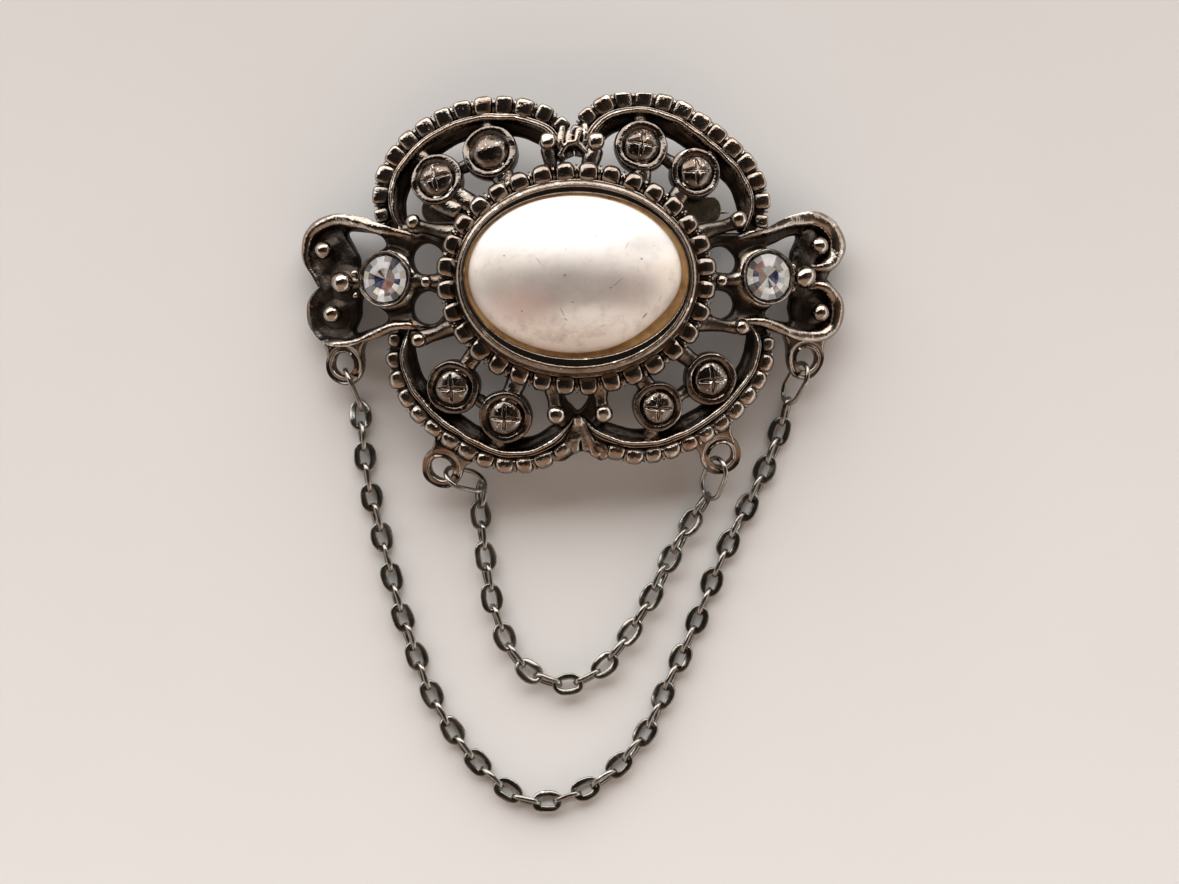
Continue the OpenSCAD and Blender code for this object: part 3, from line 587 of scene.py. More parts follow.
def axis_of(tree, place, axis):
    return node_in(tree, "ShaderNodeSeparateXYZ", {"Vector": place}).outputs[axis]


def spread_over(tree, value, low, high, to_low=0.0, to_high=1.0, curve="LINEAR"):
    """A value from low to high, spread over another span and held at its ends."""
    spans = {"Value": value, "From Min": low, "From Max": high, "To Min": to_low, "To Max": to_high}
    return node_in(tree, "ShaderNodeMapRange", spans, interpolation_type=curve).outputs["Result"]


# Colour sockets of the mix node, which has others of the same name
MIX_SHARE, MIX_FIRST, MIX_SECOND, MIX_COLOUR = 0, 6, 7, 2


def blend_of(tree, share, first, second):
    """Share 0 gives the first colour and 1 the second; each is a plain colour or a socket."""
    first, second = ((*k, 1.0) if isinstance(k, tuple) else k for k in (first, second))
    colours = {MIX_SHARE: share, MIX_FIRST: first, MIX_SECOND: second}
    return node_in(tree, "ShaderNodeMix", colours, data_type="RGBA").outputs[MIX_COLOUR]


def mottle(tree, place, scale, detail=4.0, roughness=0.55):
    """Cloudy pattern about 0.5, with its scale in repeats to the metre."""
    return node_in(tree, "ShaderNodeTexNoise", {"Vector": place, "Scale": scale, "Detail": detail,
                                                "Roughness": roughness}).outputs["Fac"]


def clouded(tree, place, scale, to_low, to_high):
    """The cloudy pattern, spread from one value to another."""
    return spread_over(tree, mottle(tree, place, scale), 0.3, 0.7, to_low, to_high)


def cells(tree, place, scale):
    """Distance to the nearest of scattered points."""
    return node_in(tree, "ShaderNodeTexVoronoi", {"Vector": place, "Scale": scale}).outputs["Distance"]


# Finishes
def start_finish(name, numbers):
    """A finish with its shader's plain numbers, and the place on the piece that its patterns follow."""
    made = bpy.data.materials.new(name)
    made.use_nodes = True
    tree = made.node_tree
    tree.nodes.clear()
    body = node_in(tree, "ShaderNodeBsdfPrincipled", numbers)
    node_in(tree, "ShaderNodeOutputMaterial", {"Surface": body.outputs["BSDF"]})
    return made, tree, body, node_in(tree, "ShaderNodeTexCoord").outputs["Object"]


def end_finish(tree, body, patterns, height=None, depth=0.0):
    """Patterns for the shader's inputs, and a height pattern for small dents of a depth in millimetres."""
    for label, source in patterns.items():
        tree.links.new(source, body.inputs[label])
    if height is not None:
        bump = node_in(tree, "ShaderNodeBump", {"Height": height, "Distance": depth * MM, "Strength": 1.0})
        tree.links.new(bump.outputs["Normal"], body.inputs["Normal"])


def depth_in_casting(tree, place):
    """Height over the domed front, in millimetres."""
    away = vector_math(tree, "SUBTRACT", place, DOME_MIDDLE).outputs[0]
    return minus(tree, times(tree, vector_math(tree, "LENGTH", away).outputs["Value"], 1 / MM), DOME_R)


# Size of the metal's patterns, in repeats to the metre
CLOUDS, DENTS, PITS, GRAIN, FINE_GRAIN = 420.0, 900.0, 1500.0, 2600.0, 3600.0
# Pointiness where tarnish and painted shade in creases start and are full, and where rubbing starts and is
# full
CREASE_TARNISH_AND_SHADE, RUBBED = (0.485, 0.43), (0.53, 0.6)
# Height over the domed front, in millimetres, where painted shade and tarnish low in the casting start and
# are full
LOW_SHADE_AND_TARNISH = (0.0, -0.5)


def plated_metal(name, bright, worn, tarnish_and_shade, brown, least_rough, most_rough, depth, sunk):
    """Dark plated casting: creases and low parts darkened, tarnished and in painted shade; rubbed edges,
    brown clouding, pits and small dents.
    """
    made, tree, body, place = start_finish(name, {"Metallic": 1.0})
    edge = node_in(tree, "ShaderNodeNewGeometry").outputs["Pointiness"]
    grain, cloud = mottle(tree, place, GRAIN, 5.0, 0.6), mottle(tree, place, CLOUDS, 5.0)
    # Creases darken toward the tarnish colour: real tarnish, and painted shade where the creases lie in
    # shade
    rough_edge = plus(tree, edge, spread_over(tree, grain, 0.3, 0.7, -0.012, 0.012))
    shaded_tarnished_creases = spread_over(tree, rough_edge, *CREASE_TARNISH_AND_SHADE)
    rough_edge = plus(tree, edge, spread_over(tree, grain, 0.3, 0.7, -0.02, 0.02))
    rubbed = spread_over(tree, rough_edge, *RUBBED)
    colour = blend_of(tree, spread_over(tree, cloud, 0.45, 0.7, 0.0, 0.75), bright, brown)
    colour = blend_of(tree, shaded_tarnished_creases, blend_of(tree, rubbed, colour, worn), tarnish_and_shade)
    rough = spread_over(tree, mottle(tree, place, DENTS), 0.35, 0.68, least_rough, most_rough)
    rough = plus(tree, rough, times(tree, shaded_tarnished_creases, 0.2))
    # Parts low in the casting darken toward the tarnish colour: painted shade, with some tarnish
    if sunk:
        deep = plus(tree, depth_in_casting(tree, place), spread_over(tree, cloud, 0.3, 0.7, -0.15, 0.15))
        low_shade_and_tarnish = spread_over(tree, deep, *LOW_SHADE_AND_TARNISH, 0.0, sunk)
        colour = blend_of(tree, low_shade_and_tarnish, colour, tarnish_and_shade)
        rough = plus(tree, rough, times(tree, low_shade_and_tarnish, 0.3))
    pits = times(tree, spread_over(tree, cells(tree, place, PITS), 0.0, 0.16), 0.3)
    height = plus(tree, mottle(tree, place, DENTS, 4.0, 0.6), pits)
    height = plus(tree, height, times(tree, mottle(tree, place, FINE_GRAIN, 3.0), 0.16))
    end_finish(tree, body, {"Base Color": colour, "Roughness": rough}, height, depth)
    return made


# Plated metals: bright face, rubbed edges, tarnish and painted shade in the creases, brown clouds, least and
# most roughness, dent depth in millimetres, and how far painted shade and tarnish cover what lies low in the
# casting
PLATED = {
    "gunmetal": ((0.31, 0.268, 0.229), (0.6, 0.535, 0.47), (0.018, 0.013, 0.01), (0.22, 0.135, 0.092),
                 0.03, 0.12, 0.1, 0.96),
    "rubbed_gunmetal": ((0.34, 0.298, 0.256), (0.6, 0.535, 0.47), (0.025, 0.018, 0.014), (0.22, 0.15, 0.11),
                        0.04, 0.12, 0.035, 0.0),
    "blackened_gunmetal": ((0.155, 0.132, 0.113), (0.48, 0.425, 0.37), (0.012, 0.009, 0.007),
                           (0.1, 0.062, 0.045), 0.03, 0.12, 0.08, 0.9),
    "bezel_gunmetal": ((0.25, 0.208, 0.172), (0.68, 0.59, 0.5), (0.018, 0.013, 0.01), (0.11, 0.072, 0.053),
                       0.04, 0.13, 0.05, 0.0),
    "dark_gunmetal": ((0.215, 0.18, 0.152), (0.46, 0.4, 0.345), (0.02, 0.015, 0.012), (0.17, 0.1, 0.07),
                      0.06, 0.16, 0.03, 0.0),
    "gunmetal_wire": ((0.25, 0.235, 0.21), (0.38, 0.355, 0.325), (0.035, 0.027, 0.022), (0.19, 0.15, 0.125),
                      0.14, 0.3, 0.024, 0.0),
    "dull_steel": ((0.36, 0.29, 0.21), (0.5, 0.43, 0.34), (0.06, 0.045, 0.03), (0.24, 0.17, 0.11),
                   0.16, 0.34, 0.04, 0.0),
}
metals = {name: plated_metal(name, *row) for name, row in PLATED.items()}
gunmetal, gunmetal_wire = metals["gunmetal"], metals["gunmetal_wire"]


def old_gilt_finish():
    """Rubbed gilt ring with brown glue stains."""
    made, tree, body, place = start_finish("old_gilt", {"Metallic": 0.4})
    stain = spread_over(tree, mottle(tree, place, 520.0, 5.0, 0.6), 0.4, 0.66)
    end_finish(tree, body, {"Base Color": blend_of(tree, stain, (0.6, 0.36, 0.15), (0.32, 0.165, 0.062)),
                            "Roughness": clouded(tree, place, PITS, 0.26, 0.5)},
               mottle(tree, place, 1900.0), 0.04)
    return made


# Marks and tints of the pearl
def away_from(tree, place, x, y):
    """The way from a spot, in millimetres from the pearl's middle, to the place on the piece."""
    spot = ((x + PEARL_AT[0]) * MM, (y + PEARL_AT[1]) * MM, 0.0)
    return vector_math(tree, "SUBTRACT", place, spot).outputs[0]


def near_spot(tree, place, x, y, half_length, half_height):
    """1 at a spot, falling to 0 at the half sizes."""
    shrink = (1 / (half_length * MM), 1 / (half_height * MM), 0.0)
    shrunk = vector_math(tree, "MULTIPLY", away_from(tree, place, x, y), shrink).outputs[0]
    distance = vector_math(tree, "LENGTH", shrunk).outputs["Value"]
    return spread_over(tree, distance, 0.0, 1.0, 1.0, 0.0, "SMOOTHERSTEP")


def scratch(tree, place, x, y, half_length, half_width, lean):
    """1 in the middle of a short mark at x, y, falling to 0 at its edge."""
    c, s = math.cos(math.radians(lean)), math.sin(math.radians(lean))
    squares = []
    for way in ((c / half_length, s / half_length, 0.0), (-s / half_width, c / half_width, 0.0)):
        way = tuple(k / MM for k in way)
        distance = vector_math(tree, "DOT_PRODUCT", away_from(tree, place, x, y), way).outputs["Value"]
        squares.append(times(tree, distance, distance))
    return spread_over(tree, plus(tree, *squares), 1.0, 0.2)


# Soft tints of the pearl, and painted light and shade: x, y, half length, half height, share, colour. The
# first row is painted shade across the middle, the sixth painted light low down, and the last two painted
# shade at the edge of the painted highlight on the top; the others are the pearl's own tints
PEARL_TINTS_AND_PAINTED_LIGHT = [(-1.0, -1.6, 17.0, 4.3, 0.95, (0.22, 0.192, 0.18)),
               (-7.8, -0.9, 4.6, 3.2, 0.6, (0.36, 0.32, 0.28)),
               (-5.0, -3.0, 5.2, 2.8, 0.65, (0.52, 0.32, 0.28)),
               (5.2, -1.6, 3.8, 2.4, 0.45, (0.4, 0.29, 0.28)),
               (8.4, -0.2, 2.0, 3.0, 0.85, (0.74, 0.65, 0.53)),
               (1.6, -4.2, 6.4, 1.9, 0.9, (1.0, 0.96, 0.92)), (0.5, -6.8, 8.0, 1.3, 0.4, (0.7, 0.6, 0.52)),
               (6.4, 2.8, 4.0, 2.2, 0.65, (0.45, 0.42, 0.39)),
               (-7.2, 1.8, 3.6, 1.9, 0.6, (0.48, 0.45, 0.42))]
# Dark specks of the pearl: repeats to the metre, size, rarity, share
PEARL_SPECKS = [(620.0, 0.075, 0.55, 0.7), (1500.0, 0.09, 0.6, 0.45)]
# Scratches and chips of the pearl's lacquer: x, y, half length, half width, lean in degrees
PEARL_MARKS = [(6.2, -3.95, 0.42, 0.12, 48), (3.75, -1.05, 0.85, 0.05, 40), (3.1, -1.55, 0.16, 0.1, 0),
               (-1.25, -3.7, 0.55, 0.05, -62), (-0.95, -4.35, 0.3, 0.05, -30),
               (-0.3, -2.85, 0.14, 0.1, 20), (5.9, 1.1, 0.14, 0.13, 0), (-6.5, 1.4, 0.12, 0.11, 0),
               (-1.0, -0.45, 0.2, 0.15, 30), (4.6, 2.3, 0.5, 0.035, 62), (7.6, -2.4, 0.45, 0.035, 70),
               (-4.9, -3.6, 0.12, 0.1, 0), (1.9, 3.1, 0.4, 0.03, 15), (-3.4, 0.9, 0.45, 0.03, -50),
               (2.4, -4.9, 0.35, 0.03, 25)]


def pearl_finish():
    """Worn pearl lacquer over glass: painted highlight on top, painted shade and light bands, soft grey,
    pink and cream tints, dark specks and short scratches.
    """
    lacquer = {"IOR": 1.6, "Coat Weight": 0.35, "Coat Roughness": 0.28}
    made, tree, body, place = start_finish("pearl", lacquer)
    wave = mottle(tree, place, 130.0, 6.0, 0.62)
    up = plus(tree, axis_of(tree, place, "Y"), spread_over(tree, wave, 0.3, 0.7, -0.0016, 0.0016))
    # Painted highlight: the upper part of the pearl is painted lighter and whiter than the rest, with a wavy
    # soft edge
    painted_lit_top = spread_over(tree, up, (PEARL_AT[1] + 0.4) * MM, (PEARL_AT[1] + 3.2) * MM)
    colour = blend_of(tree, painted_lit_top, (0.9, 0.82, 0.75), (0.93, 0.915, 0.9))
    uneven = spread_over(tree, wave, 0.3, 0.7, 0.6, 1.0)
    # Tints, painted shade and painted light laid over the colour
    for *spot, share, tint in PEARL_TINTS_AND_PAINTED_LIGHT:
        soft = times(tree, near_spot(tree, place, *spot), uneven)
        colour = blend_of(tree, times(tree, soft, share), colour, tint)
    grime = spread_over(tree, mottle(tree, place, 700.0, 8.0, 0.7), 0.48, 0.72)
    # Grime is kept mostly off the painted highlight on the top
    soiled = times(tree, grime, minus(tree, 1.0, times(tree, painted_lit_top, 0.8)))
    colour = blend_of(tree, times(tree, soiled, 0.55), colour, (0.4, 0.34, 0.31))
    for scale, size, rarity, share in PEARL_SPECKS:
        speck = times(tree, spread_over(tree, cells(tree, place, scale), size * 1.6, size * 0.8),
                      spread_over(tree, mottle(tree, place, scale * 0.5, 2.0), rarity, rarity + 0.06))
        colour = blend_of(tree, times(tree, speck, share), colour, (0.2, 0.17, 0.16))
    for mark in PEARL_MARKS:
        colour = blend_of(tree, times(tree, scratch(tree, place, *mark), 0.75), colour, (0.16, 0.13, 0.125))
    height = plus(tree, mottle(tree, place, 160.0, 2.0), mottle(tree, place, 900.0, 6.0))
    rough = clouded(tree, place, 700.0, 0.36, 0.44)
    end_finish(tree, body, {"Base Color": colour, "Roughness": rough}, height, 0.03)
    return made


def glass_finish():
    """Clear glass, a little cloudy in places."""
    clear = {"Base Color": (0.985, 0.99, 1.0, 1.0), "IOR": 1.5, "Transmission Weight": 1.0}
    made, tree, body, place = start_finish("clear_stone", clear)
    rough = spread_over(tree, mottle(tree, place, 1800.0), 0.6, 0.8, 0.0, 0.02)
    end_finish(tree, body, {"Roughness": rough})
    return made


def foil_finish():
    """Silver foil behind each stone, with painted reflections: a tint stored on each facet."""
    made, tree, body, place = start_finish("stone_foil", {"Metallic": 0.15})
    # Painted reflections: each facet's stored tint
    tint = node_in(tree, "ShaderNodeAttribute", attribute_name="foil_reflection_tint").outputs["Color"]
    cloudy = spread_over(tree, mottle(tree, place, 1400.0), 0.45, 0.75, 0.0, 0.3)
    end_finish(tree, body, {"Base Color": blend_of(tree, cloudy, tint, (0.55, 0.5, 0.45)),
                            "Roughness": clouded(tree, place, 1600.0, 0.2, 0.3)})
    return made


old_gilt, pearl_lacquer = old_gilt_finish(), pearl_finish()
clear_glass, stone_foil = glass_finish(), foil_finish()


# Repeats made with geometry nodes
def start_tree(name, sockets):
    """A tree with named inputs besides its geometry and finish, and where to read them."""
    tree = bpy.data.node_groups.new(name, "GeometryNodeTree")
    for label, kind in [("Geometry", "Geometry"), *sockets.items(), ("Finish", "Material")]:
        tree.interface.new_socket(label, in_out="INPUT", socket_type="NodeSocket" + kind)
    tree.interface.new_socket("Geometry", in_out="OUTPUT", socket_type="NodeSocketGeometry")
    return tree, tree.nodes.new("NodeGroupInput").outputs


def end_tree(tree, given, geometry):
    real = node_in(tree, "GeometryNodeRealizeInstances", {0: geometry})
    finished = node_in(tree, "GeometryNodeSetMaterial",
                       {"Geometry": real.outputs[0], "Material": given["Finish"]})
    node_in(tree, "NodeGroupOutput", {0: finished.outputs[0]})
    return tree


def stops_along(tree, given, count):
    """Points spaced evenly along the given line, and 1 for every second one of them."""
    curve = node_in(tree, "GeometryNodeMeshToCurve", {0: given["Geometry"]})
    stops = node_in(tree, "GeometryNodeResampleCurve", {"Curve": curve.outputs[0], "Count": given[count]},
                    mode="COUNT")
    index = node_in(tree, "GeometryNodeInputIndex")
    return stops.outputs[0], arithmetic(tree, "MODULO", index.outputs[0], 2.0)


def out_of_dome(tree, given):
    """Way straight out of the domed front at each point."""
    spot = node_in(tree, "GeometryNodeInputPosition").outputs[0]
    away = vector_math(tree, "SUBTRACT", spot, given["Dome middle"]).outputs[0]
    return vector_math(tree, "NORMALIZE", away).outputs[0]


def facing(tree, first, first_axis, second, second_axis):
    """Turn that points one axis of a shape along the first way and another axis near the second way."""
    return node_in(tree, "FunctionNodeAxesToRotation", {0: first, 1: second}, primary_axis=first_axis,
                   secondary_axis=second_axis).outputs[0]


def rolled(tree, turn, axis, angle):
    """A turn, after a roll about one of the shape's own axes."""
    roll = node_in(tree, "FunctionNodeAxisAngleToRotation", {0: axis, 1: angle})
    return node_in(tree, "FunctionNodeRotateRotation", {0: turn, 1: roll.outputs[0]},
                   rotation_space="LOCAL").outputs[0]


def stored(tree, name):
    """A number that is stored on each point."""
    number = node_in(tree, "GeometryNodeInputNamedAttribute", {"Name": name}, data_type="FLOAT")
    return number.outputs["Attribute"]


def set_at(tree, points, shape, **how):
    """The shape at every point, with its rotation, scale or selection."""
    how["Points"] = points
    how["Instance"] = node_in(tree, "GeometryNodeObjectInfo", {"Object": shape}).outputs["Geometry"]
    return node_in(tree, "GeometryNodeInstanceOnPoints", how).outputs[0]


def bead_and_reel_tree():
    """Barrel beads and thin reels in turn along a line, upright on the domed front."""
    tree, given = start_tree("bead_and_reel", {"Bead": "Object", "Reel": "Object", "Dome middle": "Vector",
                                               "Stops": "Int", "Unevenness": "Float", "Seed": "Int"})
    stops, odd = stops_along(tree, given, "Stops")
    way = node_in(tree, "GeometryNodeInputTangent").outputs[0]
    turn = facing(tree, out_of_dome(tree, given), "Z", way, "X")
    chance = node_in(tree, "FunctionNodeRandomValue",
                     {0: minus(tree, 1.0, given["Unevenness"]), 1: plus(tree, 1.0, given["Unevenness"]),
                      "Seed": given["Seed"]}, data_type="FLOAT_VECTOR").outputs[0]
    size = node_in(tree, "ShaderNodeVectorMath", {0: chance, "Scale": stored(tree, "size")},
                   operation="SCALE")
    both = node_in(tree, "GeometryNodeJoinGeometry")
    for label, chosen in (("Bead", odd), ("Reel", minus(tree, 1.0, odd))):
        shapes = set_at(tree, stops, given[label], Selection=chosen, Rotation=turn, Scale=size.outputs[0])
        tree.links.new(shapes, both.inputs[0])
    return end_tree(tree, given, both.outputs[0])


def seated_tree():
    """One shape set upright on the domed front at each point, with its own size and turn."""
    tree, given = start_tree("seated_on_front", {"Shape": "Object", "Dome middle": "Vector"})
    upright = facing(tree, out_of_dome(tree, given), "Z", (1.0, 0.0, 0.0), "X")
    turn = rolled(tree, upright, (0.0, 0.0, 1.0), stored(tree, "turn"))
    return end_tree(tree, given, set_at(tree, given["Geometry"], given["Shape"], Rotation=turn,
                                        Scale=stored(tree, "size")))


# Sockets for plain numbers of the random value node, which has others of the same name
LEAST_FLOAT, MOST_FLOAT, RANDOM_FLOAT = 2, 3, 1


def chain_tree():
    """Oval links along a line, each rolled about it the other way from the last."""
    tree, given = start_tree("cable_chain", {"Link": "Object", "Links": "Int", "Roll": "Float",
                                             "Other roll": "Float", "Lift": "Float", "Looseness": "Float",
                                             "Seed": "Int"})
    stops, odd = stops_along(tree, given, "Links")
    up = node_in(tree, "ShaderNodeCombineXYZ", {"Z": times(tree, odd, given["Lift"])}).outputs[0]
    raised = node_in(tree, "GeometryNodeSetPosition", {"Geometry": stops, "Offset": up}).outputs[0]
    way = node_in(tree, "GeometryNodeInputTangent").outputs[0]
    along = facing(tree, way, "X", (0.0, 0.0, 1.0), "Z")
    roll = plus(tree, times(tree, minus(tree, given["Other roll"], given["Roll"]), odd), given["Roll"])
    chance = node_in(tree, "FunctionNodeRandomValue",
                     {LEAST_FLOAT: times(tree, given["Looseness"], -1.0), MOST_FLOAT: given["Looseness"],
                      "Seed": given["Seed"]}, data_type="FLOAT").outputs[RANDOM_FLOAT]
    turn = rolled(tree, along, (1.0, 0.0, 0.0), plus(tree, roll, chance))
    return end_tree(tree, given, set_at(tree, raised, given["Link"], Rotation=turn))


def template(name, points, faces, crease=40.0):
    """A shape to repeat, from points in millimetres about its own middle."""
    return placed(name, plain_mesh(name, np.asarray(points).reshape(-1, 3) * MM, faces, crease))


def show_repeats(name, tree, lines, finish, inputs, numbers=None, kind="points", nodes=()):
    """Runs a tree over lines in millimetres from the pearl's middle and shows the result as a plain mesh.

    The kind of the lines is points, open or closed.
    """
    points, edges = [], []
    for line in lines:
        first = len(points)
        points += ((np.asarray(line) + PEARL_AT) * MM).tolist()
        if kind != "points":
            edges += [(first + k, first + k + 1) for k in range(len(line) - 1)]
        if kind == "closed":
            edges.append((len(points) - 1, first))
    host_mesh = bpy.data.meshes.new(name + "_line")
    host_mesh.from_pydata(points, edges, [])
    for label, values in (numbers or {}).items():
        attribute = host_mesh.attributes.new(label, "FLOAT", "POINT")
        attribute.data.foreach_set("value", np.asarray(values, float))
    host = placed(name + "_line", host_mesh)
    modifier = host.modifiers.new("repeat", "NODES")
    modifier.node_group = tree
    sockets = {s.name: s.identifier for s in tree.interface.items_tree if s.in_out == "INPUT"}
    for label, value in {**inputs, "Finish": finish}.items():
        modifier[sockets[label]] = value
    bpy.context.view_layer.update()
    graph = bpy.context.evaluated_depsgraph_get()
    made = bpy.data.meshes.new_from_object(host.evaluated_get(graph), depsgraph=graph)
    made.name = name
    host.modifiers.remove(modifier)
    for used in (host, *(value for value in inputs.values() if isinstance(value, bpy.types.Object))):
        bpy.data.objects.remove(used)
    places = np.zeros(len(made.vertices) * 3)
    made.vertices.foreach_get("co", places)
    places = as_cast(places.reshape(-1, 3) / MM - PEARL_AT) + PEARL_AT
    made.vertices.foreach_set("co", np.clip(places * MM, LOW_LIMIT, HIGH_LIMIT).ravel())
    made.update()
    show(name, made, finish, nodes)


# Points round a bead or a reel
BEAD_AROUND = 28


def spool(half, across, high, round_power):
    """Thin reel whose axis is x, with a fine groove round its middle."""
    profile = np.array([[-1.0, 0.0], [-1.0, 0.84], [-0.75, 1.0], [-0.35, 1.0], [-0.1, 0.9], [0.1, 0.9],
                        [0.35, 1.0], [0.75, 1.0], [1.0, 0.84], [1.0, 0.0]])[:, :, None]
    v = round_turn(BEAD_AROUND)
    return (in_space(half * profile[:, 0], across * profile[:, 1] * signed_power(np.cos(v), round_power),
                     high * profile[:, 1] * signed_power(np.sin(v), round_power)),
            ring_faces(len(profile), BEAD_AROUND))


def barrel(half, along_power, round_power, rows=17, around=BEAD_AROUND, taper=0.0):
    """Bead whose axis is x, from its half sizes; smaller powers are squarer; a taper narrows its y end."""
    u = np.linspace(-math.pi / 2, math.pi / 2, rows)[:, None]
    v = round_turn(around)
    ring = np.maximum(np.cos(u), 0) ** along_power
    points = in_space(half[0] * signed_power(np.sin(u), along_power),
                      half[1] * ring * signed_power(np.cos(v), round_power),
                      half[2] * ring * signed_power(np.sin(v), round_power))
    points[:, :, 0] *= 1 - taper * points[:, :, 1] / half[1]
    return points, ring_faces(rows, around)


# Section of the lobes, as side and height: a skirt under the beads, a thin fillet, a groove, the rail and
# its slope to the openings
LOBE_SECTION = smooth_line([[1.75, -1.5], [1.8, -1.2], [1.6, -0.9], [0.75, -0.74], [0.5, -0.6],
                            [0.44, -0.34], [0.36, -0.16], [0.27, -0.14], [0.2, -0.22], [0.14, -0.02],
                            [0.07, 0.2], [-0.03, 0.32], [-0.16, 0.33], [-0.28, 0.23], [-0.36, -0.02],
                            [-0.44, -0.34], [-0.6, -0.58], [-0.86, -0.78], [-1.06, -1.0], [-1.16, -1.38],
                            [-1.1, -1.56], [-0.5, -1.6], [0.7, -1.58]], 2, closed=True)
# For the upper and lower lobes: reach of the slope, and distance of the bead border from the crest
SLOPE_REACH = {"upper": 1.0, "lower": 0.86}
BORDER_OUT = {"upper": 1.3, "lower": 1.2}
# The slope's side, its reach at the wing, what it gains and over what share of the lobe
SLOPE_SIDE, SLOPE_START, SLOPE_GAIN, SLOPE_RUN = -0.2, 0.7, 0.4, 0.4
# How thin the rail's ends are and over what share of the lobe, and the same for the last beads; then the
# side and height that the rail's ends shrink to
RAIL_END, RAIL_RUN, BEAD_END, BEAD_RUN = 0.55, 0.12, 0.74, 0.16
RAIL_PIVOT = (-0.1, -0.9)
# Spacing of the rail's points, how many to each side even it out, height of the beads' middles over the
# front, how far their size may stray
RAIL_STEP, SOFT_REACH, BEAD_RISE, BEAD_UNEVEN = 0.15, 5, -0.7, 0.05


def softened(line):
    """Evens out small waves of a measured line and keeps its ends."""
    weight = np.ones(2 * SOFT_REACH + 1) / (2 * SOFT_REACH + 1)
    padded = np.concatenate([np.repeat(line[:1], SOFT_REACH, 0), line, np.repeat(line[-1:], SOFT_REACH, 0)])
    even = np.stack([np.convolve(padded[:, k], weight, "valid") for k in (0, 1)], axis=1)
    hold = np.minimum(np.arange(len(line)), np.arange(len(line))[::-1])[:, None] / (2.0 * SOFT_REACH)
    return line + (even - line) * np.clip(hold, 0, 1)


def swell_from_ends(share, end_size, run):
    """Grows from the end size to 1 over a run at both ends of a line."""
    return end_size + (1 - end_size) * ease(np.minimum(share, 1 - share) / run)


lobe_work = Metalwork()
bead_lines, bead_sizes = {"upper": [], "lower": []}, {"upper": [], "lower": []}
for name, table in LOBES.items():
    level = name.split("_")[0]
    line = smooth_line(table, 24)
    line = softened(even_line(line, int(line_length(line) / RAIL_STEP)))
    share = np.linspace(0, 1, len(line))
    from_wing = share if name in ("upper_left", "lower_right") else 1 - share
    reach = (SLOPE_START + SLOPE_GAIN * ease(from_wing / SLOPE_RUN)) * SLOPE_REACH[level]
    sections = np.repeat(LOBE_SECTION[None], len(line), 0)
    sections[:, :, 0] *= np.where(sections[:, :, 0] < SLOPE_SIDE, reach[:, None], 1.0)
    sweep(lobe_work, line, sections, thin=swell_from_ends(share, RAIL_END, RAIL_RUN), pivot=RAIL_PIVOT)
    x0, y0, x1, y1 = BEAD_ENDS[name]
    first, last = (int(np.hypot(line[:, 0] - x, line[:, 1] - y).argmin()) for x, y in ((x0, y0), (x1, y1)))
    border = (line + left_of(line) * BORDER_OUT[level])[first:last + 1]
    bead_lines[level].append(on_front(border[:, 0], border[:, 1], BEAD_RISE))
    bead_sizes[level].append(swell_from_ends(np.linspace(0, 1, len(border)), BEAD_END, BEAD_RUN))
lobe_work.piece("lobe_rails", gunmetal, nodes=["casting"], worn=True)

bead_tree = bead_and_reel_tree()
# Reels: half thickness, width and height as shares of the bead's, and squareness
REEL_HALF, REEL_WIDE, REEL_HIGH, REEL_SQUARE = 0.1, 0.84, 0.86, 0.8
# Beads of each level: half sizes, squareness along and around, taper, middle that they stand out from
LOBE_BEAD_SHAPES = {"upper": ((0.9, 0.92, 0.76), 0.56, 0.52, -0.03, FLAT_MIDDLE),
                    "lower": ((0.92, 0.86, 0.8), 0.68, 0.95, 0.14, DOME_MIDDLE)}
for level, (half, along_power, round_power, taper, middle) in LOBE_BEAD_SHAPES.items():
    bead = template(level + "_bead", *barrel(half, along_power, round_power, taper=taper))
    reel = template(level + "_reel",
                    *spool(REEL_HALF, half[1] * REEL_WIDE, half[2] * REEL_HIGH, REEL_SQUARE))
    show_repeats(level + "_lobe_beads", bead_tree, bead_lines[level], gunmetal,
                 {"Bead": bead, "Reel": reel, "Stops": 2 * LOBE_BEADS + 1, "Dome middle": middle,
                  "Unevenness": BEAD_UNEVEN, "Seed": 4}, {"size": np.concatenate(bead_sizes[level])}, "open")


# Bezel: web under the bead ring, wall, rolled rim, pitted bevel and the cup's floor
def straight_up(x, y, z):
    return in_space(x, y - BEZEL_DROP, z)


def oval(a, b, count):
    t = np.linspace(0, -2 * math.pi, 1440, endpoint=False)
    return even_line(np.stack([a * np.cos(t), b * np.sin(t)], axis=1), count, closed=True)


# Section of the bezel: side from its crest line, and height over the surface
BEZEL_SECTION = smooth_line([[-2.1, 6.0], [1.2, 6.05], [1.5, 6.3], [1.48, 6.75], [1.2, 6.98], [0.6, 7.02],
                             [0.42, 7.12], [0.38, 7.42], [0.3, 7.54], [0.18, 7.56], [0.09, 7.68],
                             [0.07, 8.4], [0.06, 8.95], [0.03, 9.12], [-0.04, 9.25], [-0.2, 9.37],
                             [-0.34, 9.42], [-0.42, 9.34], [-0.46, 9.2], [-0.51, 9.13], [-0.6, 9.12],
                             [-0.7, 9.1], [-0.76, 9.0], [-0.8, 8.6], [-0.9, 7.6], [-1.1, 7.34],
                             [-2.1, 7.3]], 2, closed=True)
# Rim's inner side, moved in to the mouth: side where that starts, its run, how high up, and what stays out
BEVEL_FROM, BEVEL_RUN, BEVEL_FOOT, BEVEL_END = -0.44, 0.32, 7.5, 0.76
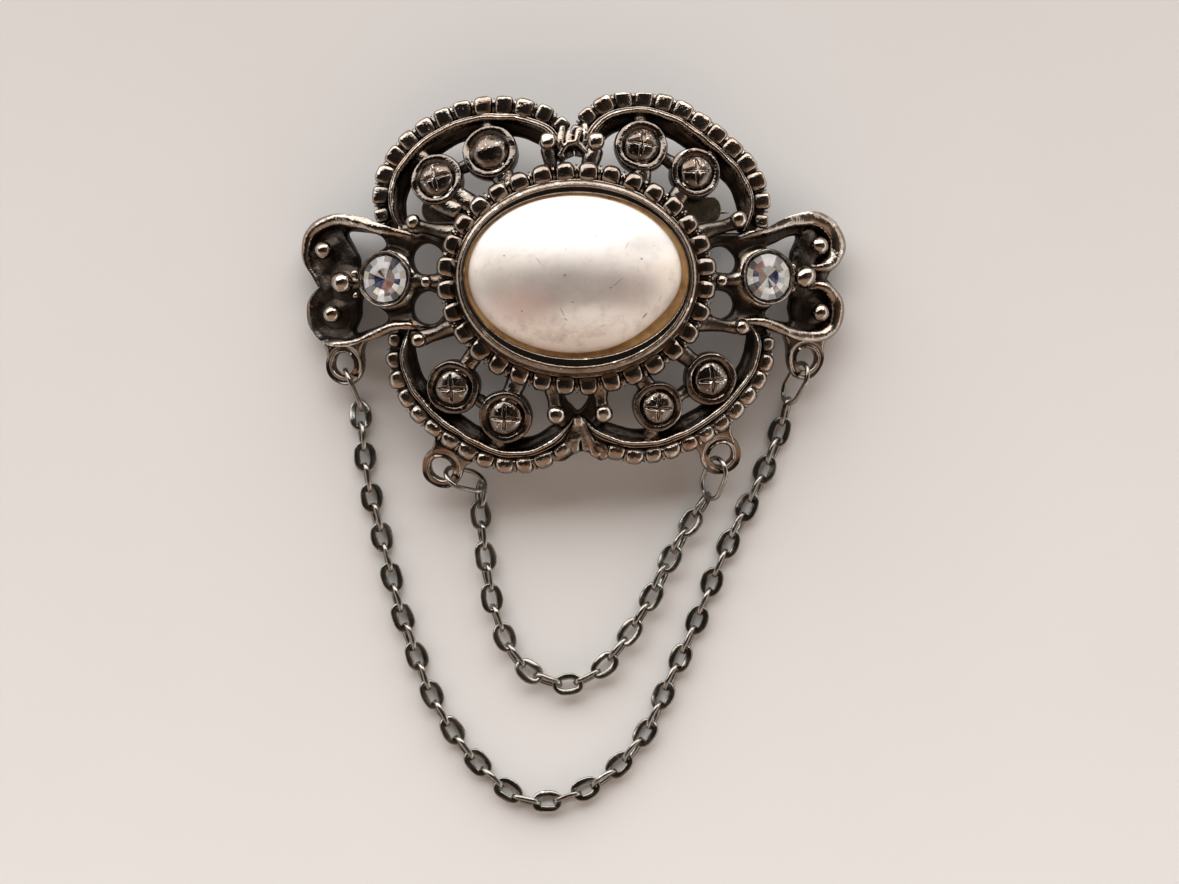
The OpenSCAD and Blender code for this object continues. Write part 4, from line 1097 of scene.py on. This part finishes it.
# Cup's plate: share of the outline, and height
PLATE_RINGS = [[0.0, 7.28], [1.012, 7.28], [1.012, 6.1], [0.99, 6.0], [0.0, 6.0]]
bezel_work = Metalwork()
bezel_line = oval(BEZEL_A, BEZEL_B, 420)
mouth = oval(MOUTH_A, MOUTH_B, 720) + [0.0, MOUTH_Y + BEZEL_DROP]
sections = np.repeat(BEZEL_SECTION[None], len(bezel_line), 0)
inward = np.clip((BEVEL_FROM - sections[:, :, 0]) / BEVEL_RUN, 0, 1) * (sections[:, :, 1] > BEVEL_FOOT)
sections[:, :, 0] -= inward * (distance_to(bezel_line, [mouth])[:, None] - BEVEL_END)
sweep(bezel_work, bezel_line, sections, closed=True, place=straight_up)
plate = oval(BEZEL_A - 2, BEZEL_B - 2, 120)
plate_points = [straight_up(plate[:, 0] * share, plate[:, 1] * share, z) for share, z in PLATE_RINGS]
bezel_work.add(plate_points, ring_faces(len(PLATE_RINGS), len(plate)))
bezel_work.piece("bezel", metals["bezel_gunmetal"])

# Bead ring: how far outside the bezel's crest it runs, lengthwise and upward, and its height
RING_OUT_A, RING_OUT_B, RING_Z = 1.08, 1.05, 7.02
ring_line = oval(BEZEL_A + RING_OUT_A, BEZEL_B + RING_OUT_B, 400)
ring_bead = template("ring_bead", *barrel((0.95, 0.94, 0.84), 0.66, 0.82, taper=0.12))
ring_reel = template("ring_reel", *spool(REEL_HALF, 0.74, 0.74, 0.9))
show_repeats("ring_beads", bead_tree, [straight_up(ring_line[:, 0], ring_line[:, 1], RING_Z)],
             metals["dark_gunmetal"],
             {"Bead": ring_bead, "Reel": ring_reel, "Stops": 2 * RING_BEADS, "Dome middle": FLAT_MIDDLE,
              "Unevenness": BEAD_UNEVEN, "Seed": 9}, {"size": np.ones(len(ring_line))}, "closed")


# How far the pearl sits off the middle of its bezel, left and down
PEARL_OFF = np.array([0.12, 0.08])


# Dark gilt bed between the pearl and the bezel
def pearl_outline(a, grow=0.0):
    """The pearl's edge in plan: an oval that is a little less full at the lower right."""
    full = 1.006 - 0.045 * np.exp(-(np.angle(np.exp(1j * (a + 0.7))) / 0.42) ** 2)
    edge = np.stack([(PEARL_A + grow) * np.cos(a), (PEARL_B + grow) * np.sin(a)], axis=1)
    return full[:, None] * edge - PEARL_OFF


# Bed: share of the way from the bezel in to the pearl, and height
BED_STEPS = [[0.0, 7.36], [0.0, 8.8], [0.12, 8.86], [0.4, 8.82], [0.75, 8.8], [1.0, 8.84], [1.0, 7.36]]
a = -round_turn(360)
bed_inner = pearl_outline(a, -0.06)
bed_outer = np.stack([(MOUTH_A + 0.15) * np.cos(a), (MOUTH_B + 0.15) * np.sin(a) + MOUTH_Y], axis=1)
bed_points = [np.insert(bed_outer * (1 - share) + bed_inner * share, 2, z, axis=1)
              for share, z in BED_STEPS]
bed_work = Metalwork()
bed_work.grid(np.stack(bed_points, axis=1), closed_rows=True)
bed_work.piece("gilt_bed", old_gilt, "old_gilt", ["pearl_bed"])

# Pearl cabochon: share of the outline, and height over its base
levels = [[0.0, 0.0], [0.97, 0.0], [0.995, 0.03], [1.0, 0.1]]
levels += [[math.cos(a), PEARL_GIRDLE + (PEARL_T - PEARL_GIRDLE) * math.sin(a)]
           for a in np.radians(np.linspace(0, 90, 44))]
rim = pearl_outline(round_turn(144)) + PEARL_OFF
pearl_work = Metalwork()
pearl_work.add([np.insert(rim * share - PEARL_OFF, 2, CUP_FLOOR + 0.05 + h, axis=1) for share, h in levels],
               ring_faces(len(levels), len(rim)))
pearl_work.piece("pearl_cabochon", pearl_lacquer, "pearl", ["pearl"], crease=60.0)


# Wings: rolled rails on a pierced, dished floor that rises to the rails, the stone and the balls
WING_FLOOR = -0.74
# Floor's rise beside the rails, with its width and slope; the same round the stone, from a foot; and round
# a ball
RAIL_RISE, RAIL_NEAR, RAIL_SLOPE = 0.3, 0.8, 1.2
CUP_FOOT, CUP_RISE, CUP_NEAR, CUP_SLOPE = -0.72, 0.75, 2.4, 0.9
KNOB_RISE, KNOB_REACH = 0.36, 1.7


def wing_height(contours, stone, knobs):
    """Height of a wing's floor over the front, as a function of x and y."""
    def height(x, y):
        gap = distance_to(np.stack([x, y], axis=1), contours, closed=False)
        top = WING_FLOOR + RAIL_RISE * np.clip(1 - (gap - RAIL_NEAR) / RAIL_SLOPE, 0, 1) ** 2
        from_stone = np.hypot(x - stone[0], y - stone[1])
        top = np.maximum(top, CUP_FOOT + CUP_RISE * ease(1 - (from_stone - CUP_NEAR) / CUP_SLOPE))
        for knob_x, knob_y, r, _ in knobs:
            away = np.hypot(x - knob_x, y - knob_y) / (r * KNOB_REACH)
            top = np.maximum(top, WING_FLOOR + KNOB_RISE * np.clip(1 - away ** 2, 0, 1))
        return top
    return height


def level_top(h):
    """A plate's top at one height over the front."""
    return lambda x, y: np.full(len(x), h)


def circle(x, y, r):
    a = round_turn(48)
    return np.stack([x + r * np.cos(a), y + r * np.sin(a)], axis=1)


# Balls that the wings' floor rises to: beyond this x, and larger than this radius
KNOB_X, KNOB_LEAST = 20, 0.5
# For each wing: its first and second half outline, and x and the two y where it meets the bead ring
WING_HALVES = {"left": ("left_low", "left_up", -11.2, -5.0, 4.3),
               "right": ("right_up", "right_low", 11.2, 4.3, -4.8)}
wing_work = Metalwork()
for side, (first, second, root_x, start, end) in WING_HALVES.items():
    halves = [smooth_line(WINGS[half], 4) for half in (first, second)]
    halves = [line - left_of(line) * 0.05 for line in halves]
    outline = np.concatenate([[[root_x, start]], *halves, [[root_x, end]]])
    stone = STONES["stone_" + side]
    holes = [smooth_line(h, 6, closed=True) for h in WING_HOLES[side]]
    holes += [circle(*h) for h in (*SIDE_HOLES[side], (*stone, STONE_R + 0.16))]
    knobs = [b for b in BALLS
             if abs(b[0]) > KNOB_X and b[2] > KNOB_LEAST and (b[0] < 0) == (side == "left")]
    contours = [smooth_line(WINGS[half], 8) for half in (first, second)]
    relief(wing_work, outline, holes, wing_height(contours, stone, knobs), under=-METAL_T + 0.04, edge=0.4,
           grain=0.135, ridges=WING_RIDGES[side])

# Stone cups with a rubbed-over rim: radius, and height over the front
CUP_PROFILE = smooth_line([[1.12, -1.6], [2.3, -1.6], [2.52, -1.5], [2.6, -1.0], [2.62, 0.1], [2.6, 0.34],
                           [2.53, 0.44], [2.45, 0.4], [2.36, 0.26], [2.26, 0.14], [2.23, 0.06],
                           [2.25, -0.1], [2.26, -0.7], [2.2, -0.93], [1.3, -0.96], [1.14, -1.0],
                           [1.1, -1.3]], 3, closed=True)
cup_work = Metalwork()
for stone in STONES.values():
    turned(cup_work, CUP_PROFILE, *stone, 80)
cup_work.piece("stone_cups", metals["blackened_gunmetal"], worn=True)

# Cast loops and the necks that join them to the wings and lobes
LOOP_SECTION = smooth_line([[-0.5, 0.0], [-0.48, 0.28], [-0.36, 0.44], [-0.24, 0.38], [-0.04, 0.26],
                            [0.2, 0.28], [0.38, 0.34], [0.5, 0.16], [0.52, -0.06], [0.46, -0.36],
                            [0.2, -0.5], [-0.2, -0.5], [-0.45, -0.34]], 3, closed=True)
# One flank of a neck: distance outside the loop's wire, and distance up from the loop's middle
NECK_FLANK = np.array([[0.36, 0.1], [0.3, 0.7], [0.36, 1.4], [0.75, 2.2]])
# Height of the loops' middles over the front, and the same for the necks' top and underside
LOOP_RISE, NECK_TOP, NECK_UNDER = -0.85, -0.42, -1.3
loop_work = Metalwork()
for x, y, r, toward in LOOPS:
    turned(loop_work, LOOP_SECTION * [0.92, 1.0] + [r + 0.07, LOOP_RISE], x, y, 72)
    a = np.radians(np.linspace(8, 172, 24))
    inner = np.stack([(r + 0.1) * np.cos(a), (r + 0.1) * np.sin(a)], axis=1)
    flank = NECK_FLANK + [r, 0.0]
    neck = np.concatenate([flank * [-1, 1], flank[::-1], inner])
    c, s = math.cos(math.radians(toward - 90)), math.sin(math.radians(toward - 90))
    relief(loop_work, neck @ [[c, s], [-s, c]] + [x, y], [], level_top(NECK_TOP), under=NECK_UNDER,
           edge=0.3)
wing_work.piece("wings", gunmetal, worn=True)
loop_work.piece("cast_loops", metals["dark_gunmetal"], worn=True)


# Ridged leaf between the upper lobes, and the ridged fan and web between the lower ones
leaf_work = Metalwork()
for outline, ridges, top in ((LEAF_OUTLINE, LEAF_RIDGES, -0.45), (FAN_OUTLINE, FAN_RIDGES, -0.5),
                             (WEB_OUTLINE, (), -0.62)):
    relief(leaf_work, smooth_line(outline, 6, closed=True), [], level_top(top), under=-METAL_T + 0.1,
           edge=0.3, grain=0.1, ridges=ridges)

# Struts: heights of their start and end over the front
STRUT_FROM, STRUT_TO = -0.72, -0.9
for x0, y0, x1, y1, start, waist, end in ARMS:
    radii = smooth_line([[start], [waist], [(waist + end) / 2], [end]], 6)[:, 0]
    strut(leaf_work, on_front(x0, y0, STRUT_FROM), on_front(x1, y1, STRUT_TO), radii)
leaf_work.piece("leaves_and_struts", gunmetal, worn=True)

# Balls; the two at the upper notch are a little square
NOTCH_Y = 12
seat_tree = seated_tree()


def show_seated(name, shape, table, rises, turns, sizes, finish):
    """A shape seated upright on the front at the places of a table."""
    places = [on_front(row[0], row[1], rise) for row, rise in zip(table, rises)]
    show_repeats(name, seat_tree, [places], finish, {"Shape": shape, "Dome middle": DOME_MIDDLE},
                 {"size": sizes, "turn": turns})


for name, power, chosen in (("balls", 1.0, [k for k in BALLS if k[1] < NOTCH_Y]),
                            ("notch_balls", 0.8, [k for k in BALLS if k[1] > NOTCH_Y])):
    ball = template(name + "_shape", *barrel((1.0, 1.0, 1.0), power, power, 25, 40))
    show_seated(name, ball, chosen, [k[3] for k in chosen], [0.0] * len(chosen), [k[2] for k in chosen],
                metals["rubbed_gunmetal"])

# Cup flowers: a thick rounded cup, as radius and height, with a bud that a cross is cut into
ROSETTE_R, BUD_R = 2.6, 1.7
# The cross: half width at the bud's foot, what it gains at the top, and the angle from the top where it ends
SLOT_LEAST, SLOT_GAIN, SLOT_END, SLOT_FADE = 0.09, 0.2, 1.04, 0.16
ROSETTE_CUP = smooth_line([[0.0, -1.6], [1.2, -1.6], [2.3, -1.6], [2.5, -1.4], [2.58, -0.9], [2.6, -0.42],
                           [2.56, -0.16], [2.5, 0.0], [2.42, 0.07], [2.3, 0.1], [2.16, 0.1], [2.02, 0.07],
                           [1.9, 0.0], [1.8, -0.12], [1.7, -0.18], [1.5, -0.2], [0.0, -0.2]], 3)


def rosette_shape(slot_depth, rise):
    """Cup and bud, from the depth of the bud's cross and the bud's height as a share of its radius."""
    around, rows, spokes = 72, 36, 128
    a = round_turn(around)[:, None]
    radius, height = ROSETTE_CUP[:, 0], ROSETTE_CUP[:, 1]
    cup = in_space(radius * np.cos(a), radius * np.sin(a), height).reshape(-1, 3)
    polar = np.linspace(0, math.radians(88), rows)[:, None]
    a = round_turn(spokes)
    across = BUD_R * np.sin(polar) * np.minimum(np.abs(np.sin(a)), np.abs(np.cos(a)))
    width = SLOT_LEAST + SLOT_GAIN * np.clip(1 - polar, 0, 1)
    swell = BUD_R - slot_depth * np.exp(-(across / width) ** 4) * ease((SLOT_END - polar) / SLOT_FADE)
    bud = in_space(swell * np.sin(polar) * np.cos(a), swell * np.sin(polar) * np.sin(a),
                   rise * swell * np.cos(polar) - 0.2).reshape(-1, 3)
    faces = ring_faces(around, len(ROSETTE_CUP), True, False)
    faces += (np.array(ring_faces(rows, spokes)) + len(cup)).tolist()
    faces.append([len(cup) + (rows - 1) * spokes + k for k in range(spokes)])
    return np.concatenate([cup, bud]), faces


for name, depth, rise, chosen in (("flower_rosettes", 0.34, 0.6, ROSETTES),
                                  ("ball_rosette", 0.0, 0.62, BALL_ROSETTES)):
    rosette = template(name + "_shape", *rosette_shape(depth, rise), crease=50.0)
    show_seated(name, rosette, chosen, [0.0] * len(chosen), [math.radians(r[3]) for r in chosen],
                [r[2] / ROSETTE_R for r in chosen], metals["blackened_gunmetal"])


# Clear stones: an eight-sided table and crown over an eight-sided pointed back, with foil behind
SIDES, GIRDLE_POINTS = 8, 32
TABLE_R, TABLE_Z, GIRDLE_R, GIRDLE_LOW, CULET_Z, CROWN_EDGE = 1.12, 0.62, 2.18, 0.12, -0.9, 0.24


def in_facet(a):
    """Angle from the middle of the facet that an angle falls in."""
    return (a + math.pi / SIDES) % (2 * math.pi / SIDES) - math.pi / SIDES


def gem_points():
    """The table's middle and rim, the girdle's upper and lower edge, and the culet."""
    apothem = TABLE_R * math.cos(math.pi / SIDES)
    slope = (TABLE_Z - CROWN_EDGE) / (GIRDLE_R * 0.98 - apothem)
    back_slope = (GIRDLE_LOW - CULET_Z) / GIRDLE_R
    corners, a = round_turn(SIDES) + math.pi / SIDES, round_turn(GIRDLE_POINTS)
    reach = GIRDLE_R * np.cos(in_facet(a))
    rim_x, rim_y = GIRDLE_R * np.cos(a), GIRDLE_R * np.sin(a)
    return np.concatenate([[[0.0, 0.0, TABLE_Z]],
                           in_space(TABLE_R * np.cos(corners), TABLE_R * np.sin(corners), TABLE_Z),
                           in_space(rim_x, rim_y, TABLE_Z - slope * (reach - apothem)),
                           in_space(rim_x, rim_y, CULET_Z + back_slope * reach), [[0.0, 0.0, CULET_Z]]])


def gem_faces():
    per = GIRDLE_POINTS // SIDES
    faces = [[1 + k for k in range(SIDES)]]
    upper = 1 + SIDES
    lower = upper + GIRDLE_POINTS
    for k in range(SIDES):
        rim = [upper + ((k * per + per // 2 + step) % GIRDLE_POINTS) for step in range(per + 1)]
        faces.append([1 + k, *rim, 1 + (k + 1) % SIDES])
    for k in range(GIRDLE_POINTS):
        after = (k + 1) % GIRDLE_POINTS
        faces.append([upper + k, lower + k, lower + after, upper + after])
        faces.append([lower + k, lower + GIRDLE_POINTS, lower + after])
    return faces


# Tints of the foil's facets, which paint their reflections, counter-clockwise from the right:
# under the table, then round it
SNOW, PALE, GREY, SLATE, INK, ROSE, TAN, OLIVE, CREAM, BARK = (
    (1.0, 1.0, 1.0), (0.66, 0.66, 0.64), (0.26, 0.25, 0.25), (0.08, 0.085, 0.11), (0.012, 0.02, 0.11),
    (0.36, 0.17, 0.12), (0.4, 0.3, 0.26), (0.36, 0.34, 0.25), (0.76, 0.7, 0.56), (0.14, 0.1, 0.08))
# Painted reflections seen in each stone's facets: ring of facets counted from the middle, from and to angle
# in degrees, tint; the other facets take the pale tints in turn
FACET_REFLECTIONS = {"stone_left": [[0, 165, 250, INK], [0, 250, 335, ROSE], [0, 335, 420, TAN], [1, 75, 150, SNOW],
                         [1, 35, 75, SLATE], [1, 150, 180, BARK], [1, 270, 290, BARK], [1, 335, 360, INK],
                         [2, 95, 120, SNOW], [2, 45, 75, SLATE]],
          "stone_right": [[0, -50, 50, INK], [0, 50, 130, PALE], [0, 130, 215, TAN], [1, 65, 120, SNOW],
                          [1, 120, 160, ROSE], [1, 160, 190, INK], [1, 245, 290, SNOW], [1, 20, 65, OLIVE],
                          [2, 70, 120, SNOW], [2, 200, 225, BARK]]}


def facet_reflection_tint(name, ring, angle, which):
    """Painted reflection tint of one foil facet."""
    for place, start, end, tint in FACET_REFLECTIONS[name]:
        if place == ring and (angle - start) % 360 < end - start:
            return tint
    return (SNOW, GREY, CREAM, PALE, TAN, SNOW, SLATE)[(which * 3 + ring) % 7]


# Foil cone: radius and height; then where the rings of facets end, counted from the middle
FOIL_RINGS = np.array([(2.12, 0.1), (1.6, 0.12), (1.0, 0.05), (0.0, -0.42), (0.0, -0.5), (2.13, 0.04)])
FACET_ENDS = (0.8, 1.45)
for name, (x, y) in STONES.items():
    origin, *axes = standing(x, y)
    axes = np.stack(axes)
    gem_work, foil_work = Metalwork(), Metalwork()
    gem_work.add(origin + gem_points() @ axes, gem_faces())
    gem_work.piece(name + "_glass", clear_glass, "clear_stone", [name], flat=True)
    a = round_turn(16)
    r, z = FOIL_RINGS[:, :1], FOIL_RINGS[:, 1:]
    cone = in_space(r * np.cos(a), r * np.sin(a), z)
    foil_work.grid(origin + cone @ axes, closed_rows=True)
    foil = foil_work.mesh(name + "_foil", flat=True)
    # Each foil facet stores a tint that paints the reflection seen in it
    tints = foil.attributes.new("foil_reflection_tint", "FLOAT_COLOR", "FACE")
    for k, face in enumerate(foil.polygons):
        across, up, _ = axes @ (np.array(face.center) / MM - PEARL_AT - origin)
        ring = sum(math.hypot(across, up) >= end for end in FACET_ENDS)
        tints.data[k].color = (*facet_reflection_tint(name, ring, math.degrees(math.atan2(up, across)), k), 1.0)
    show(name + "_foil", foil, stone_foil)


# Oval wire shapes
def oval_wire(length, width, wire, bend, gap=0.0):
    """Racetrack of round wire in its own plane: long side along x. A gap leaves a slit in one long side."""
    around, r = 16, width / 2 - wire
    t = np.linspace(-math.pi / 2, math.pi / 2, bend)
    right = np.stack([(length - width) / 2 + r * np.cos(t), r * np.sin(t)], axis=1)
    path = np.concatenate([right, -right])
    if gap:
        path = even_line(np.concatenate([[[gap / 2, -r]], path, [[-gap / 2, -r]]]), 4 * bend)
    side = left_of(path, closed=not gap)
    a = round_turn(around)
    out = wire * np.cos(a)
    return in_space(path[:, :1] + side[:, :1] * out, path[:, 1:] + side[:, 1:] * out, wire * np.sin(a))


def rotation(axis, degrees):
    c, s = math.cos(math.radians(degrees)), math.sin(math.radians(degrees))
    rows = {"x": [[1, 0, 0], [0, c, -s], [0, s, c]], "y": [[c, 0, s], [0, 1, 0], [-s, 0, c]],
            "z": [[c, -s, 0], [s, c, 0], [0, 0, 1]]}
    return np.array(rows[axis])


# A link's wire: width at the ends, what it gains at the sides, half thickness, and squareness of its section
LINK_END_W, LINK_SIDE_GAIN, LINK_HALF_T, LINK_SQUARE = 0.46, 0.18, 0.22, 0.55


def flat_link():
    """Oval link of flattened wire: broad flat faces, slimmer at the two ends where it is linked."""
    around, steps, fullness = 16, 72, 0.86
    t = round_turn(steps)
    outer = np.stack([LINK_LEN / 2 * signed_power(np.cos(t), fullness),
                      LINK_WID / 2 * signed_power(np.sin(t), fullness)], axis=1)
    outer = even_line(outer, steps, closed=True)
    side = left_of(outer, True)
    band = LINK_END_W + LINK_SIDE_GAIN * side[:, 1:] ** 2
    a = round_turn(around)
    reach = band * (0.5 - 0.5 * signed_power(np.cos(a), LINK_SQUARE))
    return in_space(outer[:, :1] + side[:, :1] * reach, outer[:, 1:] + side[:, 1:] * reach,
                    LINK_HALF_T * signed_power(np.sin(a), LINK_SQUARE))


# How far a jump ring's end reaches past the middle of the loop's wire
JUMP_PAST = 0.95
for name, (which, spot, heading, slope, turn) in JUMP_RINGS.items():
    x, y, r, _ = LOOPS[which]
    reach = JUMP_LEN / 2 - JUMP_WIRE - JUMP_PAST
    up = on_front(x, y, 1.0) - on_front(x, y, 0.0)
    c, s = math.cos(math.radians(spot)), math.sin(math.radians(spot))
    out = np.array([c, s, -(up[0] * c + up[1] * s) / up[2]])
    seat = on_front(x, y, LOOP_RISE) + out / np.linalg.norm(out) * r
    hang = rotation("z", heading) @ rotation("y", slope)
    points = oval_wire(JUMP_LEN, JUMP_WID, JUMP_WIRE, 24, gap=0.05)
    ring_work = Metalwork()
    ring_work.grid((points @ rotation("x", turn).T + [reach, 0, 0]) @ hang.T + seat)
    ring_work.piece(name + "_wire", gunmetal_wire, "gunmetal_wire", [name], crease=60.0)

# Chains: route, seed of the looseness, and roll of the first and the second link in degrees
CHAINS = {"outer_chain": (OUTER_ROUTE, 3, -12, 72), "inner_chain": (INNER_ROUTE, 8, 70, -14)}
# Height of the lower links' middles and rise of the others, and the looseness in degrees
CHAIN_Z, LINK_RISE, LOOSE = 0.5, 0.42, 7
link_tree = chain_tree()
for name, (route, seed, first_roll, other_roll) in CHAINS.items():
    line = smooth_line(route, 16)
    link = flat_link()
    shape = template(name + "_link", link, ring_faces(*link.shape[:2], True), crease=50.0)
    inputs = {"Link": shape, "Links": int(round(line_length(line) / LINK_PITCH)) + 1,
              "Roll": math.radians(first_roll), "Other roll": math.radians(other_roll),
              "Lift": LINK_RISE * MM, "Looseness": math.radians(LOOSE), "Seed": seed}
    show_repeats(name + "_links", link_tree, [np.insert(line, 2, CHAIN_Z, axis=1)], gunmetal_wire, inputs,
                 kind="open", nodes=[name])

# Pin back: rounded bar, hinge barrel, tapered stem and open catch
BAR_HALF, BAR_W, BAR_T, BAR_TOP, STEM_R, STEM_Z = 14.0, 2.4, 0.8, 4.3, 0.4, 1.6
BAR_LOW = BAR_TOP - BAR_T
HINGE_X, CATCH_X = -BAR_HALF + 1.8, BAR_HALF - 1.9
PIN_SHIFT = np.array([-0.5, 6.3, 0.0])
# Lowest point of round parts, just over the surface
PIN_LOWEST = 0.002
# Bar: share of its width, and height
BAR_RINGS = [[0.0, BAR_LOW], [0.94, BAR_LOW], [1.0, BAR_LOW + 0.12], [1.0, BAR_TOP - 0.14], [0.95, BAR_TOP],
             [0.0, BAR_TOP]]
pin_work = Metalwork()
stadium = oval_wire(2 * BAR_HALF, BAR_W, 0.2, 24)[:, 0, :2]
rim = stadium / np.abs(stadium).max(axis=0) * [BAR_HALF, BAR_W / 2]
bar_points = []
for share, z in BAR_RINGS:
    x = np.sign(rim[:, 0]) * np.maximum(np.abs(rim[:, 0]) - (1 - share) * BAR_W / 2, 0) * (share > 0)
    bar_points.append(in_space(x, rim[:, 1] * share, z))
pin_work.add(np.stack(bar_points) + PIN_SHIFT, ring_faces(len(BAR_RINGS), len(rim)))


def barrel_along_y(work, x, z, r, half):
    """Hinge barrel with bevelled ends."""
    bevel, around = 0.12, 48
    radius = np.array([0.0, r - bevel, r, r, r - bevel, 0.0])
    y = np.array([-half, -half, -half + bevel, half - bevel, half, half])
    a = round_turn(around)[:, None]
    points = in_space(x + radius * np.cos(a), y, np.maximum(z + radius * np.sin(a), PIN_LOWEST))
    work.add(points + PIN_SHIFT, ring_faces(around, len(radius), True, False))


def block(work, low, high):
    points = np.array(list(itertools.product(*zip(low, high))))
    faces = [[0, 1, 3, 2], [4, 6, 7, 5], [0, 4, 5, 1], [2, 3, 7, 6], [0, 2, 6, 4], [1, 5, 7, 3]]
    work.add(points + PIN_SHIFT, faces)


# Two ears that hold the hinge: y, half thickness, half width
EAR_Y, EAR_HALF_T, EAR_HALF_W = 0.66, 0.22, 1.1
for y in (-EAR_Y, EAR_Y):
    block(pin_work, [HINGE_X - EAR_HALF_W, y - EAR_HALF_T, STEM_Z],
          [HINGE_X + EAR_HALF_W, y + EAR_HALF_T, BAR_LOW + 0.1])
barrel_along_y(pin_work, HINGE_X, STEM_Z, STEM_Z, 0.98)
# Stem: how far it and its taper go past the catch, the taper's length, its least share and its fullness
STEM_PAST, TAPER_PAST, TAPER_LEN, TIP_SHARE, TAPER_POWER = 2.8, 2.85, 3.2, 0.06, 0.7
stem_x = np.linspace(HINGE_X, CATCH_X + STEM_PAST, 40)[:, None]
stem_r = STEM_R * np.clip((CATCH_X + TAPER_PAST - stem_x) / TAPER_LEN, TIP_SHARE, 1) ** TAPER_POWER
a = round_turn(20)
pin_work.grid(in_space(stem_x, stem_r * np.cos(a), STEM_Z + stem_r * np.sin(a)) + PIN_SHIFT)
# Section of the catch, carried round the stem: inner and outer radius, then x and radius of each corner
catch_in, catch_out = STEM_R + 0.36, STEM_Z - 0.02
catch_x = CATCH_X + np.array([-0.78, -0.7, 0.7, 0.78, 0.78, 0.68, -0.68, -0.78])
catch_r = np.array([catch_in + 0.08, catch_in, catch_in, catch_in + 0.08,
                    catch_out - 0.1, catch_out, catch_out, catch_out - 0.1])
a = np.radians(np.linspace(-155, 155, 48))[:, None]
pin_work.grid(in_space(catch_x, catch_r * np.cos(a), np.maximum(STEM_Z + catch_r * np.sin(a), PIN_LOWEST))
              + PIN_SHIFT)
block(pin_work, [CATCH_X - 0.75, -0.7, STEM_Z + 1.1], [CATCH_X + 0.75, 0.7, BAR_LOW + 0.1])
pin_work.piece("pin_clasp", metals["dull_steel"], nodes=["pin_back"], crease=35.0)


# Floor, light and camera
def pale_floor():
    """Pale matt surface, with painted shade that makes it a little darker toward the top of the frame."""
    made, tree, body, place = start_finish("pale_floor", {"Roughness": 0.65, "Specular IOR Level": 0.25})
    # Painted shade: darker toward +y, the top of the frame, and lighter toward the bottom
    near = spread_over(tree, axis_of(tree, place, "Y"), 0.06, -0.05)
    share = plus(tree, near, clouded(tree, place, 30.0, -0.05, 0.05))
    end_finish(tree, body, {"Base Color": blend_of(tree, share, (0.63, 0.612, 0.6), (0.8, 0.785, 0.775))})
    return made


FLOOR_HALF = 1.5
floor_mesh = bpy.data.meshes.new("floor")
corners = [(x * FLOOR_HALF, y * FLOOR_HALF, 0) for x, y in ((-1, -1), (1, -1), (1, 1), (-1, 1))]
floor_mesh.from_pydata(corners, [], [[0, 1, 2, 3]])
floor_mesh.materials.append(pale_floor())
floor = placed("floor", floor_mesh)

# Broad soft window behind the upper side of the brooch
lamp = bpy.data.lights.new("window_light", "AREA")
lamp.shape = "RECTANGLE"
lamp.size, lamp.size_y = 6.5, 2.6
lamp.energy = 215.0
lamp.color = (1.0, 0.99, 0.975)
window = placed("window_light", lamp)
window.location = (-0.5, 2.6, 1.6)
window.rotation_euler = (-window.location).to_track_quat("-Z", "Y").to_euler()

# Room: pale walls low down to the left and right, dark overhead, brown toward the viewer
world = bpy.data.worlds.new("room")
bpy.context.scene.world = world
world.use_nodes = True
sky = world.node_tree
sky.nodes.clear()
way = node_in(sky, "ShaderNodeTexCoord").outputs["Generated"]
right, back, up = (axis_of(sky, way, axis) for axis in "XYZ")
beside = plus(sky, spread_over(sky, right, 0.3, 0.65, 0.0, 1.3),
              spread_over(sky, right, -0.45, -0.8, 0.0, 0.7))
walls = times(sky, beside, spread_over(sky, up, 0.5, 0.3))
overhead = blend_of(sky, spread_over(sky, right, 0.1, 0.6), (0.02, 0.018, 0.016), (0.085, 0.064, 0.05))
dark_room = blend_of(sky, spread_over(sky, back, -0.3, -0.62), overhead, (0.385, 0.275, 0.205))
colour = blend_of(sky, walls, dark_room, (0.98, 0.95, 0.92))
sky_light = node_in(sky, "ShaderNodeBackground", {"Color": colour, "Strength": 2.0})
node_in(sky, "ShaderNodeOutputWorld", {"Surface": sky_light.outputs[0]})

# The photograph looks straight down from 210 mm: 2203 pixels of focal length on a frame 1179 pixels wide
PHOTO_WIDTH, FOCAL_PIXELS, SENSOR = 1179, 2203, 36.0
camera_data = bpy.data.cameras.new("camera")
camera_data.sensor_width = SENSOR
camera_data.lens = SENSOR * FOCAL_PIXELS / PHOTO_WIDTH
camera_data.clip_start = 0.01
camera = placed("camera", camera_data)
camera.location = (0.0015, 0.00135, 0.21)
bpy.context.scene.camera = camera
bpy.context.scene.view_settings.view_transform = "Standard"
